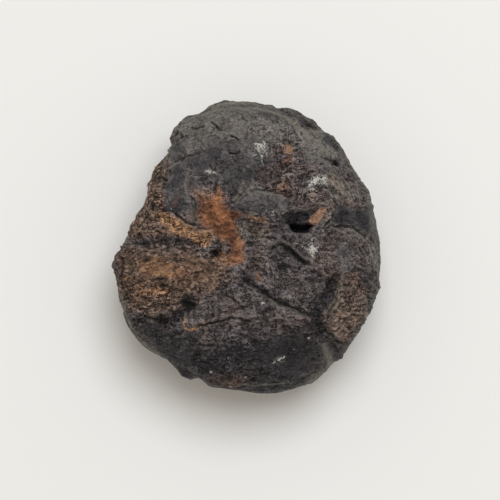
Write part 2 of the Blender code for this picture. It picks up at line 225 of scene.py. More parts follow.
# Fine cracks in the plates, and small pits
CRACKS = [
    Stroke(0.3, 0.5, [(-14.8, 20.3), (-14.2, 20.9), (-13.3, 21.3), (-12.9, 22)]),
    Stroke(0.28, 1.1, [(-14.2, 15.9), (-13.3, 16.7), (-12.3, 17), (-11, 17.6), (-10.3, 17.8), (-9.1, 18)]),
    Stroke(0.2, 0.6, [(-11.1, 23), (-9.6, 23), (-8.3, 23.2)]),
    Stroke(0.22, 0.7, [(-7.7, 24.1), (-7, 23.8), (-6.3, 23.2), (-5.6, 22.8), (-4.9, 22.8)]),
    Stroke(0.18, 0.7, [(-4, 17.7), (-3.5, 17.7), (-2.6, 17.7), (-1.6, 17.9)]),
    Stroke(0.2, 0.6, [(-3.7, 21), (-2.9, 20.9), (-2.3, 20.7), (-1.8, 20.3)]),
    Stroke(0.25, 0.5, [(-18, 13.7), (-17, 13.5), (-15.9, 13.1)]),
    Stroke(0.3, 0.6, [(-15, 14.9), (-15.1, 13.5)]),
    Stroke(0.3, 0.5, [(-10.9, 10), (-10.5, 8.6), (-10.4, 6), (-10, 4.5)]),
    Stroke(0.2, 0.35, [(-6, 12.5), (-6.5, 11.3), (-6.7, 10.3)]),
    Stroke(0.3, 0.7, [(-0.1, 12.4), (-0.6, 11.2), (-1.4, 10.2), (-2.5, 9.1), (-3.5, 8)]),
    Stroke(0.3, 0.6, [(-14.2, 6.5), (-13.5, 5.8), (-12.6, 5.2), (-11.5, 4.6), (-10.2, 3.9)]),
    Stroke(0.3, 0.5, [(15.8, 20.8), (17, 20.2), (18, 19.2)]),
    Stroke(0.25, 0.6, [(15.9, 6.3), (15.6, 5.6), (15, 4.8), (14.2, 4.1)]),
    Stroke(0.22, 0.35, [(13.8, 3.8), (15, 4), (16.6, 4), (18.5, 4.1), (19.5, 3.6), (20.3, 3), (22, 2)]),
    Stroke(0.35, 0.6, [(17.6, -7.1), (18.3, -7.2), (19, -7.1)]),
    Stroke(0.3, 0.5, [(16.3, -17.9), (17.5, -18.3), (18.8, -18.1)]),
    Stroke(0.3, 0.5, [(15.2, -16), (16.2, -17.3), (17, -18.2)]),
    Stroke(0.25, 0.4, [(14.2, -17), (15, -15.8)]),
    Stroke(0.22, 0.35, [
        (-10.8, -15.2), (-9, -14.8), (-7.5, -14.4), (-5.5, -14), (-4.3, -13.6), (-3.2, -13.3),
        (-1.8, -13.4), (-0.5, -13.8), (0.3, -13.9), (0.9, -13.3), (1.8, -13),
    ]),
    Stroke(0.18, 0.3, [
        (-4.8, -8.9), (-3.5, -9.5), (-2.3, -10.3), (-1.2, -11.2), (-0.3, -11.2), (0.8, -10.5),
    ]),
    Stroke(0.35, 0.5, [
        (0, -6.8), (1.2, -7.5), (2.2, -8.2), (3.3, -9.1), (4.5, -9.8), (5.5, -10.4), (7, -11), (8.5, -11.6),
        (9.5, -12.1), (11, -12.7), (12.7, -13.1),
    ]),
    Stroke(0.2, 0.3, [(5.4, -3.2), (5.9, -4.5), (5.9, -6), (6.2, -7.5)]),
    Stroke(0.3, 0.55, [(4.1, -0.4), (4.9, 0.1), (5.7, 0.7), (6.5, 0.4)]),
    Stroke(0.3, 0.4, [(-20, -12.9), (-18.5, -13.6), (-17.5, -14.2)]),
    Stroke(0.2, 0.3, [(-15, -14.5), (-14, -15.3)]),
    Stroke(0.2, 0.3, [(-14.5, -16.7), (-12.8, -16.3), (-12, -15.9)]),
    Stroke(0.2, 0.3, [(-9.5, -17.9), (-8, -18.4), (-6.5, -18.6)]),
    Stroke(0.2, 0.35, [(6.5, -25.7), (9.5, -24.9)]),
    Stroke(0.25, 0.35, [(-16, -20.5), (-14.9, -21.6), (-14, -22.5)]),
    Stroke(0.2, 0.35, [(0.4, -1.9), (1.6, -2.4), (2.4, -2.9)]),
    Stroke(0.2, 0.35, [(-0.8, -3.7), (0.5, -3.8), (1.4, -3.5)]),
    Stroke(0.3, 0.4, [(8.3, 20.6), (7.9, 20.1), (7.6, 19.6)]),
    Stroke(0.2, 0.3, [(1.8, 1.9), (3.4, 1.9), (5, 1.6)]),
    Stroke(0.2, 0.3, [(22.3, -8.5), (23.3, -8.4)]),
    Stroke(0.2, 0.3, [(22, -9.4), (23.2, -9.5)]),
]

# Regions that are sunk, with steep sides
HOLLOWS = [
    Area(0.35, 3.6, [
        (7.8, 4.6), (8.2, 3.3), (9.2, 2.9), (10.2, 2.7), (11.3, 3.1), (12.4, 4.2), (11.5, 4.5), (10.5, 4.2),
        (9.3, 4.2), (8.8, 4.6),
    ]),
    Area(0.5, 0.7, [(4.3, -0.4), (5.7, 0.8), (6.6, 0.5), (7.9, -0.3), (9.2, -1.4), (7.6, -2), (6, -1.6)]),
]

PITS = [
    Oval((-18.5, -2.3), (0.7, 0.45), -0.7, 20),
    Oval((-15.5, -5.8), (0.6, 0.4), -0.5, -10),
    Oval((-15.8, -7.2), (0.7, 0.4), -0.5, 10),
    Oval((-20.5, -6.3), (0.6, 0.5), -0.6),
    Oval((-20.2, 1), (0.9, 0.5), -0.8),
    Oval((-22.5, 1.3), (0.6, 0.5), -0.7),
    Oval((-19, 5.2), (0.6, 0.5), -0.6),
    Oval((-6.2, 1.3), (0.8, 0.5), -0.6),
    Oval((-7.8, -1.7), (0.5, 0.5), -0.5),
    Oval((-2.3, -7.8), (0.6, 0.3), -0.5, -10),
    Oval((-1.5, -7.2), (0.4, 0.3), -0.4),
    Oval((3.3, -11.9), (0.5, 0.3), -0.5, 30),
    Oval((0.2, 3.7), (0.45, 0.3), -0.5),
    Oval((0.3, 0.8), (0.8, 0.3), -0.45),
    Oval((-11.3, -10.4), (1.9, 1.1), -0.5, -30),
    Oval((3, 16.2), (0.9, 1), -0.5),
    Oval((15.5, 15.6), (0.8, 0.5), -0.4),
    Oval((-1.9, -27.6), (0.4, 0.2), -0.4),
    Oval((5, -26.5), (1, 0.3), -0.4),
    Oval((-11.6, -23.8), (1.6, 0.8), -0.5, -25),
]

# The seam of the coil on the lower flank, a spiral that grows by COIL_GROWTH for each radian
COIL_START = 1.5
COIL_END = 15.0
COIL_GROWTH = 0.17
SEAM_WIDTH = 0.5
SEAM_DEPTH = 1.1
UNDER_UMBILICUS = Oval(UMBILICUS, (4.6, 4.2), -1.8)

# Weathering: (size of the lumps, how far they stand out)
BROAD_WEAR = (9.0, 0.6)
FINE_WEAR = (2.6, 0.25)
FLAKES = (4.4, 1.0)
FLAKE_STEP = 0.13
CREASES = (0.78, 0.4)
CRUMBS = (0.5, 0.18)
WRINKLES = (1.0, 0.5)
WRINKLE_STRETCH = (0.5, 1.3, 1.0)
# The flaky lower part: lumps drawn out sideways, with sharp creases
RIPPLES = (1.0, 0.62)
RIPPLE_STRETCH = (0.5, 1.0, 1.0)
RIPPLED = [
    Area(1.5, 1, [
        (-9.5, -15.6), (-3, -14.4), (3, -14), (10, -14.6), (13, -17), (5, -17.4), (1.6, -19.6), (0, -24.6),
        (-6, -24.6), (-11.6, -21.6), (-10, -17.6),
    ]),
    Area(1.5, 0.5, [(-3, -13.4), (1, -12), (3.4, -10.6), (8, -12.6), (12, -14), (12.4, -16.6), (3, -15)]),
    Area(2, 0.8, [(-4, -3.6), (6, -1.6), (14.6, -4.6), (14, -10.6), (6, -9.4), (0, -6.6)]),
    Area(2, 0.6, [(-22.4, -13), (-11.6, -13), (-10, -19.6), (-14, -21.6), (-20, -17.6)]),
    Area(2, 0.5, [(7, 8.8), (15, 8.8), (15, 16.6), (7, 17.6), (5, 13)]),
    Area(0.8, 0.6, [(-8, -25.4), (0, -25.6), (10, -24.6), (12, -26), (4, -27.8), (-6, -26.8)]),
]
# How far round a vertex its height is compared, in steps along the mesh, and the height that counts in full
# The material paints shade where a vertex is sunk and light where it stands out
FINE_LOOK = (4, 0.105)
BROAD_LOOK = (60, 0.6)

# How much less the girth is worn, where the outline already has its bumps, and half its height
GIRTH_CALM = 0.7
GIRTH_HALF = 0.35
# Where the outline's bumps fade out, and where each flank starts and is full, by how steep a direction is
BUMPS_FADE = (0.75, 0.25)
UPPER_FLANK = (-0.05, 0.3)
LOWER_FLANK = (-0.1, -0.45)
# How crumbly bare stone, rust and the smoothest plates are, and the least that wrinkles and flakes show
BARE_ROUGHNESS = 0.6
RUST_ROUGHNESS = 0.7
PLATE_ROUGHNESS = 0.15
LEAST_WRINKLED = 0.15
LEAST_FLAKY = 0.25

# How far the edges of marks and cracks wander: (size of the bends, how far they go)
BROAD_WANDER = (3.4, 0.9)
FINE_WANDER = (0.9, 0.35)
CRACK_WANDER = 0.9
SHARP_WANDER = 0.4
SEED = 2

# What lies where on the upper flank. Marks of one layer add up to at most 1.
CRUST_MARKS = [
    Area(2.6, 1, [
        (-24.6, -1), (-24.4, -6), (-23.6, -9.5), (-22, -11.4), (-17.6, -12.2), (-14.6, -11.6), (-11, -9.6),
        (-6, -8.6), (-3.4, -6), (-4.4, -3), (-7, -3), (-10, -0.6), (-16, -0.4), (-20, 0.2), (-22.6, 0.4),
    ]),
    Area(0.7, 0.72, [
        (-15.8, 16.8), (-19.4, 13.4), (-20.2, 8.4), (-22.2, 4.6), (-22.6, 2.2), (-17.4, 2), (-12, 2.4),
        (-14.4, 5.6), (-16.2, 7.4), (-16.2, 11), (-15.4, 13.6),
    ]),
    Area(0.6, 0.55, [
        (17.6, -5), (20.6, -4.4), (23, -8.4), (22.6, -12.4), (20.2, -16.6), (18.6, -18.2), (16.2, -17.2),
        (14.9, -14.6), (15.2, -12.2), (16.8, -9.6), (17.4, -7),
    ]),
    Oval((21.4, -1), (3, 4.8), 0.15, 5),
    Area(1, 0.2, [(15.6, 9), (17.6, 7.6), (22.8, 7.8), (21.6, 12), (19, 16), (16.6, 14.6)]),
    Oval((6.6, 10.8), (2.4, 1.7), 0.62),
    Oval((12.4, 9.8), (2.8, 1.6), 0.35),
    Oval((2.4, 3.4), (3, 2.2), 0.5),
    Oval((7.4, -5.6), (6, 3.8), 0.15, -20),
    Oval((-3.6, -25), (4.2, 1.4), 0.5),
    Oval((7, 14.4), (2.6, 3), 0.25),
    Oval((-5.6, -11.6), (4, 1.6), 0.15),
    Oval((3, -14), (7, 2.4), 0.15),
]
RUST_MARKS = [
    Oval((-6.5, 6.7), (3.3, 3.3), 1),
    Oval((-9.6, 10.9), (3, 1.1), 0.27, 128),
    Oval((-5.6, 10.2), (1.6, 0.8), 0.4, 75),
    Oval((-2.6, 6), (2.4, 1), 0.8, 5),
    Oval((-4.4, 3.8), (2.6, 2.2), 0.9, -30),
    Oval((-1.8, 0.9), (3.5, 1.3), 1, -68),
    Oval((-3.6, -1.8), (2.8, 1.5), 0.5, -10),
    Oval((-13.5, 8.4), (1.1, 0.9), 0.35),
    Oval((-16.2, -3.9), (4, 1.9), 0.5, -10),
    Oval((-16.5, -8.3), (2.2, 1.2), 0.3),
    Oval((-9, -4.4), (5, 2.6), 0.3),
    Oval((19.3, -10), (0.9, 1.4), 0.15),
    Oval((17, -13.2), (0.9, 1), 0.2),
    Stroke(0.4, 0.6, [(2.1, -5), (2.3, -5.8), (2.5, -6.6)]),
    Oval((7.2, 11.4), (1.3, 0.9), 0.35),
    Oval((7.3, 16.2), (0.8, 0.6), 0.5),
]
GRAINY_MARKS = [
    Area(0.8, 1, [
        (-15.8, 16.8), (-19.4, 13.4), (-20.2, 8.4), (-22.2, 4.6), (-23.6, 1), (-12, 0), (-7, -2.6),
        (-5, -0.4), (-8, 2.8), (-12, 3.4), (-15.8, 6.4), (-16.4, 11),
    ]),
    Area(1, 0.9, [(-24, -6.6), (-12, -8.6), (-9.6, -10.2), (-12.4, -13.6), (-17.6, -15), (-22, -14.2)]),
    Area(1.2, 1, [
        (6, 20.4), (5.4, 15), (4.8, 10.8), (9, 8.6), (14.6, 8.6), (15.6, 13.2), (11.4, 15.6), (9.8, 18.4),
    ]),
    Oval((5.8, 22.4), (2.4, 1.4), 0.9, -10),
    Oval((-4, 21), (3.4, 1), 0.6, -35),
    Oval((-8.4, 26.2), (3.6, 0.9), 0.9, 28),
    Oval((2, 3.4), (3.4, 1.8), 0.4),
    Oval((-2.2, -8.2), (2.6, 1.6), 0.7, -25),
    Oval((-5.8, -1), (2.6, 2.2), 1),
    Area(1.5, 0.25, [
        (17.6, -5), (20.6, -4.4), (23, -8.4), (22.6, -12.4), (20.2, -16.6), (16.2, -17.2), (15.2, -12.2),
    ]),
    Oval((22.4, 9.2), (2, 1.6), 0.8),
    Oval((2, -26.4), (7, 1), 0.6),
    Oval((-3, 27.2), (8, 0.9), 0.8),
    Oval((24.2, -1), (1, 5), 0.8),
    Oval((-24, -10), (1, 5), 0.8),
]
BANDED_MARKS = [
    Area(0.6, 1, [
        (-15.6, 17.4), (-19.6, 13.4), (-20.4, 8.4), (-22.4, 4.6), (-18, 4), (-16.4, 7.4), (-16.2, 12),
    ]),
    Area(1, 1, [(14.8, 14.8), (19.8, 14.4), (22.6, 8.6), (18.4, 7.8), (15.6, 9)]),
    Area(0.6, 0.9, [
        (17.6, -7), (22, -6.4), (23.6, -9.4), (20.2, -17), (18.6, -18.4), (16.2, -17.4), (14.9, -14.6),
        (15.2, -12.2),
    ]),
    Area(1, 0.8, [(19.6, 3.4), (24.8, 1.6), (25.2, -6.4), (23, -6.4), (21.6, -1)]),
    Area(1, 0.8, [(-13, 24.4), (-8, 25.2), (-2, 26.6), (6, 25.6), (6, 27.6), (-2, 28.4), (-10, 26.8)]),
    Area(1, 0.7, [(-24.6, -6), (-23.2, -12), (-20, -17.6), (-15.6, -20.8), (-17, -22), (-25, -14)]),
]
TAN_MARKS = [
    Oval((-13, 4.2), (4.4, 1.4), 0.95, -27),
    Oval((-13.4, 2.9), (1.6, 0.8), 0.9, -20),
    Oval((-15.6, 5.6), (1.2, 0.8), 0.6, -20),
    Oval((-8, 1.9), (2.6, 1.3), 0.8, 15),
    Oval((-16.2, -3.9), (3.8, 1.7), 0.9, -10),
    Oval((-16.6, -8.5), (2.2, 0.7), 0.7),
    Oval((-20, -8), (2.4, 2.4), 0.4),
    Stroke(0.35, 0.5, [
        (-14.5, 18.5), (-15.2, 16.5), (-15.4, 14.8), (-15.6, 13.2), (-16, 11.5), (-16.3, 9.5), (-16.2, 7.6),
        (-15.5, 6.6),
    ]),
    Oval((-13.6, 20.2), (1.1, 0.8), 0.35, 20),
    Stroke(0.2, 1, [(0.2, 5.2), (1.6, 5.4), (3, 5.3), (3.9, 5.1)]),
    Stroke(0.16, 0.8, [(0.4, 4.6), (1.8, 4.7), (3.6, 4.6)]),
    Oval((-4.6, -1.6), (1.6, 0.5), 0.7, -20),
    Oval((-6.2, -2.3), (1.2, 0.4), 0.8, 5),
    Stroke(0.24, 1, [(-11.6, -12), (-11.2, -14.2), (-10.6, -15), (-8.8, -14.8), (-7, -14.3)]),
    Stroke(0.12, 0.8, [(-11.2, -12.4), (-10.9, -14), (-10.2, -14.7), (-8.6, -14.4)]),
    Oval((17.2, 12.6), (3.6, 1.4), 0.2, -62),
    Oval((-22.5, -5.7), (0.8, 0.5), 0.8),
    Oval((-7.6, 0.6), (0.9, 0.6), 0.9),
    Oval((-4.9, -1.2), (0.5, 0.9), 0.8, 20),
]
PLATE_MARKS = [
    Area(0.8, 1, [
        (-14.6, 18.6), (-15.2, 14), (-16, 9), (-14.6, 7.2), (-11, 5.6), (-9.4, 8), (-8.6, 12.8),
        (-5.4, 12.2), (-3, 9.6), (-0.6, 12.6), (2, 14.6), (4.4, 15.4), (5, 20), (8, 22.4), (9, 25),
        (2, 27.4), (-6, 27.4), (-11.6, 25), (-13.6, 22),
    ]),
    Area(0.5, 1, [
        (-2.4, 7.4), (0.4, 6.6), (3.4, 6.8), (6.4, 6.6), (9.4, 7), (8.6, 8.8), (5, 10.2), (0.6, 10.4),
        (-1.2, 9.6),
    ]),
    Area(0.5, 1, [
        (15.6, 4.4), (18.8, 4.2), (20.6, 3), (24.8, 1.4), (24.2, 7), (20.8, 7.4), (17.2, 7.6), (16, 6.6),
    ]),
    Oval((5.6, -0.9), (2, 1), 0.8, -10),
    Area(0.8, 0.9, [
        (8.8, 21.6), (9.8, 18.6), (11.4, 16.2), (15.4, 14.6), (19.2, 15.6), (18.2, 19.4), (15.8, 21.8),
        (13, 22.8),
    ]),
    Oval((7, -19.6), (5, 2.8), 1),
    Oval((8.4, -23), (4.6, 1.6), 0.9, 8),
    Oval((18.4, -2.4), (2, 3.6), 0.9),
    Area(0.8, 0.5, [
        (-20.4, -14.6), (-15, -15.6), (-10, -18.2), (-10.6, -22.6), (-13.4, -23), (-18.6, -19.8),
    ]),
    Oval((-10.3, -16.3), (1.4, 1.2), 0.8),
    Area(0.6, 0.3, [
        (-11, -12.6), (-10.2, -14.6), (-5.6, -13.6), (-3, -13), (0.2, -13.4), (2.6, -12.4), (3.2, -10.4),
        (0.8, -10.4), (-1, -11.3), (-3, -9.8), (-5, -8.8), (-7, -9.4), (-9.4, -10.6),
    ]),
    Oval((15.8, -20.4), (0.9, 3), 0.7),
    Area(0.8, 0.6, [(15, 14.8), (19.4, 14.8), (22.4, 9), (18.4, 8.2), (15.6, 9.4)]),
    Area(0.8, 0.4, [(17.6, -6.4), (22.4, -6.6), (22.8, -10.8), (20.4, -16.4), (16.4, -17), (15.4, -13)]),
]
# Dark stone, and painted shade on the lower half that faces away from the lamp and in the scoop, valleys and
# recess
DARK_AND_SHADE_MARKS = [
    Area(3, 0.95, [
        (-23, -13), (-14, -15), (-6, -17.6), (4, -16.6), (12, -13.6), (14.6, -17), (14, -23), (6, -26.6),
        (-6, -26), (-16, -21.4),
    ]),
    Oval((11, -19), (4, 4), 0.9),
    Oval((17.6, -20.4), (1.6, 3), 0.8, -30),
    Area(1.2, 0.8, [(-12, -24), (-2, -25), (10, -24.4), (12, -26.6), (2, -28.6), (-10, -26.6)]),
    Oval((4.5, 25.3), (3.6, 1.2), 0.65, -18),
    Area(0.8, 1, [(16, 4.4), (18.8, 4.2), (20.6, 3), (24, 2.4), (23.6, 6.8), (20.8, 7.2), (17.2, 7.4)]),
    Area(0.8, 0.8, [
        (16.9, -5.6), (15, -6), (13.4, -8.6), (11.6, -10.6), (12.6, -15.4), (14.4, -16.8), (14.8, -12.4),
        (16.4, -10),
    ]),
    Oval((-4.4, 15.2), (6.5, 2.6), 0.5, -8),
    Oval((-12.6, 9), (2, 2.6), 0.35),
    Oval((6.8, -2.6), (4.6, 2.4), 0.25, -25),
    Oval((2.8, 8.2), (4.4, 1.6), 0.5),
    Oval((-13, 1.2), (4.4, 0.8), 0.7),
    Oval((10.6, 6), (3.4, 1.6), 0.8),
    Oval((2.4, 13.4), (4, 1.8), 0.45),
    Oval((22.4, -6.8), (1.2, 2.2), 0.6, -8),
    Oval((9, 1.6), (2.6, 1.2), 0.45),
    Oval((8.4, 25.4), (3.6, 0.8), 0.8, -24),
    Oval((11.9, 23.3), (2.1, 1), 0.95, -36),
    Oval((16.2, 19.9), (2.4, 1.1), 0.9, -52),
    Oval((-13.4, -12.2), (2.4, 1.4), 0.9, 40),
    Oval((-10.8, -11), (2.2, 1.6), 0.8, 35),
    Oval((-19, -13.4), (3.4, 1.2), 0.6, -8),
    Oval((21, -4), (2.2, 3.6), 0.4, 5),
]
# Pale dust, and painted light on the upper part that faces the lamp
DUST_AND_LIGHT_MARKS = [
    Area(2, 0.8, [
        (-13.4, 22), (-12, 25), (-6, 27.4), (4, 27.4), (9, 25), (15, 21), (18.6, 16), (14, 15), (8, 19.6),
        (-4, 19.4), (-11, 19),
    ]),
    Oval((1.6, 3.2), (4, 2.2), 0.8),
    Oval((10, 1.4), (3, 1.4), 0.3),
    Area(1.2, 0.3, [(9, 21.6), (10.4, 18), (13, 16.2), (15.6, 17.4), (12.6, 21.4)]),
    Area(1.2, 1, [(14.6, 14.4), (16.6, 14.6), (20.4, 11.6), (21.4, 8.4), (16.6, 8.8), (14.4, 10.8)]),
    Oval((0, -9.4), (2.2, 1.4), 0.4),
    Oval((17.4, -13.6), (1.6, 3.4), 0.6, -22),
    Stroke(1.6, 0.5, [(-17, 15.6), (-18.4, 11.6), (-18.6, 8), (-20.4, 4.6)]),
    Oval((12.4, -24.6), (3, 1.2), 0.8, 25),
    Oval((15.6, -20.4), (0.7, 2.6), 0.5),
]
PEACH_MARKS = [
    Area(0.3, 1, [
        (11.6, 4.5), (11.9, 5.8), (12.9, 6.5), (13.8, 7.3), (15, 7.4), (14.4, 6.3), (13.9, 5.1),
        (12.9, 4.1),
    ]),
    Oval((-1.4, 0.9), (0.9, 1.9), 0.4, 15),
    Oval((-16.3, -3.9), (3, 1.2), 0.48, -10),
    Oval((7.9, 18.4), (0.95, 1), 0.9),
    Oval((8.1, 16.8), (0.5, 0.5), 0.4),
]
CHALK_MARKS = [
    Stroke(0.16, 0.5, [(3, 20.2), (3.5, 19.2), (3.6, 18), (4, 16.8)]),
    Oval((3.1, 18.6), (1.4, 2), 0.32),
    Stroke(0.14, 0.4, [(1.6, 20), (2.1, 18.9), (2.6, 17.6), (3, 16.6)]),
    Stroke(0.14, 0.5, [(0.2, 18), (1.4, 18.6), (2.6, 19), (3.4, 19.6)]),
    Stroke(0.14, 0.7, [(1, 19.5), (2.2, 19.4), (3.4, 18.4)]),
    Stroke(0.14, 0.7, [(2.8, 17.4), (2.9, 16.2), (3.2, 14.9)]),
    Stroke(0.12, 0.5, [(-0.2, 17.3), (0.8, 17), (1.8, 17.4)]),
    Oval((13.4, 12.6), (2.3, 1.2), 0.6, 10),
    Stroke(0.2, 0.6, [(11.2, 11), (12.2, 12.1), (13.4, 12.8), (15.5, 12.9)]),
    Stroke(0.15, 0.5, [(12.4, 13.6), (13, 12.4), (12.6, 11.4)]),
    Oval((12.2, 10.8), (0.6, 0.4), 0.6),
    Oval((12.4, -0.6), (0.8, 0.7), 0.55),
    Oval((12.4, -0.7), (1, 0.9), 0.4),
    Stroke(0.2, 0.8, [(12.2, -0.4), (12.3, 1), (12.4, 2.2)]),
    Stroke(0.2, 0.8, [(11.4, 0.6), (12, 0.3), (12.8, -0.2), (13.7, 0.4)]),
    Stroke(0.14, 0.6, [(9, 1), (10.2, 0.3), (11.5, -0.5)]),
    Stroke(0.12, 0.5, [(9.6, 1.6), (10.8, 0.8), (11.8, 0.2)]),
    Stroke(0.14, 0.6, [(12.2, -1.4), (12.7, -2.1)]),
    Oval((6, -21), (1.5, 0.9), 0.32),
    Stroke(0.14, 0.5, [(8, -20), (8.7, -19.2), (9.3, -18.5)]),
    Stroke(0.14, 0.6, [(4.6, -21.9), (5.8, -21.2), (7.4, -20.2)]),
    Oval((-7, 14.2), (1, 0.4), 0.7, -10),
    Stroke(0.12, 0.5, [(-6.4, 14.1), (-5.4, 13.8), (-4.3, 13.5)]),
    Stroke(0.12, 0.5, [(7.2, 23.3), (6.3, 22.6)]),
    Stroke(0.12, 0.4, [(4.2, 22.8), (4.2, 21.3)]),
    Stroke(0.14, 0.5, [(1.3, 24.8), (2.4, 24.4), (3.5, 24)]),
    Stroke(0.14, 0.4, [(-3, 12.2), (-1.8, 12.3)]),
    Stroke(0.14, 0.6, [(3.2, 7.2), (4.2, 6.4), (5.2, 5.6)]),
    Stroke(0.14, 0.6, [(4.9, 7.2), (5.2, 5.6)]),
    Stroke(0.14, 0.5, [(6.5, 7), (8, 6.9), (9.8, 6.5)]),
    Stroke(0.14, 0.5, [(9.8, 7), (10.5, 7.6), (11.2, 8)]),
    Oval((-6.7, -23.4), (0.3, 0.25), 1),
    Oval((-0.2, -24.4), (0.3, 0.2), 0.9),
    Oval((-3, -26.2), (0.3, 0.2), 0.8),
    Oval((11.8, -17), (0.35, 0.2), 0.8),
    Stroke(0.12, 0.5, [(-3.6, -20.3), (-3.3, -21.2), (-3, -22)]),
    Stroke(0.12, 0.5, [(-4.2, -22.3), (-2.8, -22.7), (-1.9, -23.2)]),
    Stroke(0.12, 0.5, [(-9.5, -22), (-9.2, -23.3)]),
    Oval((2.9, -10.4), (0.5, 0.3), 0.9, -20),
    Oval((-15.4, 0.1), (0.4, 0.25), 0.7),
    Oval((-14.2, 7.2), (0.3, 0.25), 0.6),
    Stroke(0.14, 0.4, [(22.5, 2.5), (23.4, 0.6), (24.5, -1.5)]),
    Stroke(0.14, 0.4, [(-4, 22.5), (-3.2, 21.8)]),
    Oval((2.6, 11.1), (0.9, 0.3), 0.6),
]
# Near black in the opening, pits, cracks, notches and under the shelf: painted shade, with some dark stone
BLACK_AND_SHADE_MARKS = [
    Area(0.35, 1, [
        (7.6, 4.8), (8.1, 3.2), (9.2, 2.8), (10.2, 2.6), (11.3, 3), (12.5, 4.2), (11.5, 4.6), (10.5, 4.5),
        (9.3, 4.6),
    ]),
    Area(0.7, 0.62, [(7.2, 4.6), (6.6, 6.2), (8.6, 7), (11.4, 6.4), (11.6, 4.6)]),
    Oval((-6.1, -1), (0.8, 0.7), 1),
    Stroke(0.25, 0.8, [(-15.6, 20), (-14.6, 20.6), (-13.6, 21.2), (-12.8, 22.3)]),
    Oval((-18.5, -2.4), (1, 0.5), 0.75, 10),
    Oval((-15.5, -5.9), (1.1, 0.45), 0.75, -5),
    Oval((-15.6, -7.2), (1.1, 0.45), 0.75),
    Oval((-22.2, -8.8), (1.2, 2.2), 0.5, 10),
    Oval((-24.7, -3.4), (1.1, 1.9), 0.42),
    Oval((-10.9, -9.6), (1.6, 0.9), 0.4, 35),
    Stroke(0.3, 0.7, [(-24.2, -1.2), (-23.3, -2.2), (-23.1, -3.6), (-23.5, -5.2), (-24.6, -6.2)]),
    Oval((-19.4, -9.4), (1, 0.6), 0.4),
    Oval((11.7, 23.3), (1.8, 0.6), 0.6, -36),
    Stroke(0.16, 0.6, [(-9.4, 25.4), (-6, 26.5), (-2, 27), (1, 26.7)]),
    Oval((16.4, 19.8), (1.7, 0.5), 0.6, -52),
    Oval((-11.4, -10.4), (1.8, 1), 0.7, -30),
    Oval((-12, 1.4), (3.4, 0.6), 0.5),
    Oval((16, -8), (0.7, 2), 0.3, -12),
    Oval((13.8, -10.8), (1.2, 1.2), 0.4, 30),
    Oval((13.4, -14.4), (0.9, 1.4), 0.4),
    Oval((22.5, -6.8), (0.9, 1.4), 0.3),
    Oval((-11.5, -23.7), (1.6, 0.9), 0.6, -20),
    Oval((9.4, -1.6), (1.6, 0.6), 0.6, -45),
    Oval((16.8, 15.9), (0.75, 0.5), 1, -50),
    Oval((15.4, 16.5), (1.3, 0.3), 0.8, -18),
    Oval((18.2, 19.4), (1.3, 0.4), 0.7, -62),
    Oval((8.6, -19.4), (4.6, 2.8), 0.52),
    Stroke(0.35, 0.6, [(4.1, -0.4), (4.9, 0.1), (5.7, 0.7), (6.5, 0.4)]),
    Stroke(0.5, 0.6, [(6.5, 0.2), (8, -0.4), (9, -1.4), (9.8, -2.1), (10.8, -2.9), (12.2, -3.5)]),
    Stroke(0.45, 0.5, [
        (-1.2, -5.7), (0, -6.7), (1.2, -7.4), (2.2, -8.1), (3.3, -9), (4.5, -9.7), (5.5, -10.3), (7, -10.9),
        (8.5, -11.5), (9.5, -12), (11, -12.7), (12.7, -13),
    ]),
    Oval((-3.6, -24.6), (1.3, 0.5), 0.5),
    Oval((2.2, -27.1), (1, 0.35), 0.9, -10),
    Oval((4.9, -26.3), (1.2, 0.4), 0.7),
    Oval((-1.8, -26.5), (0.7, 0.3), 0.6),
]
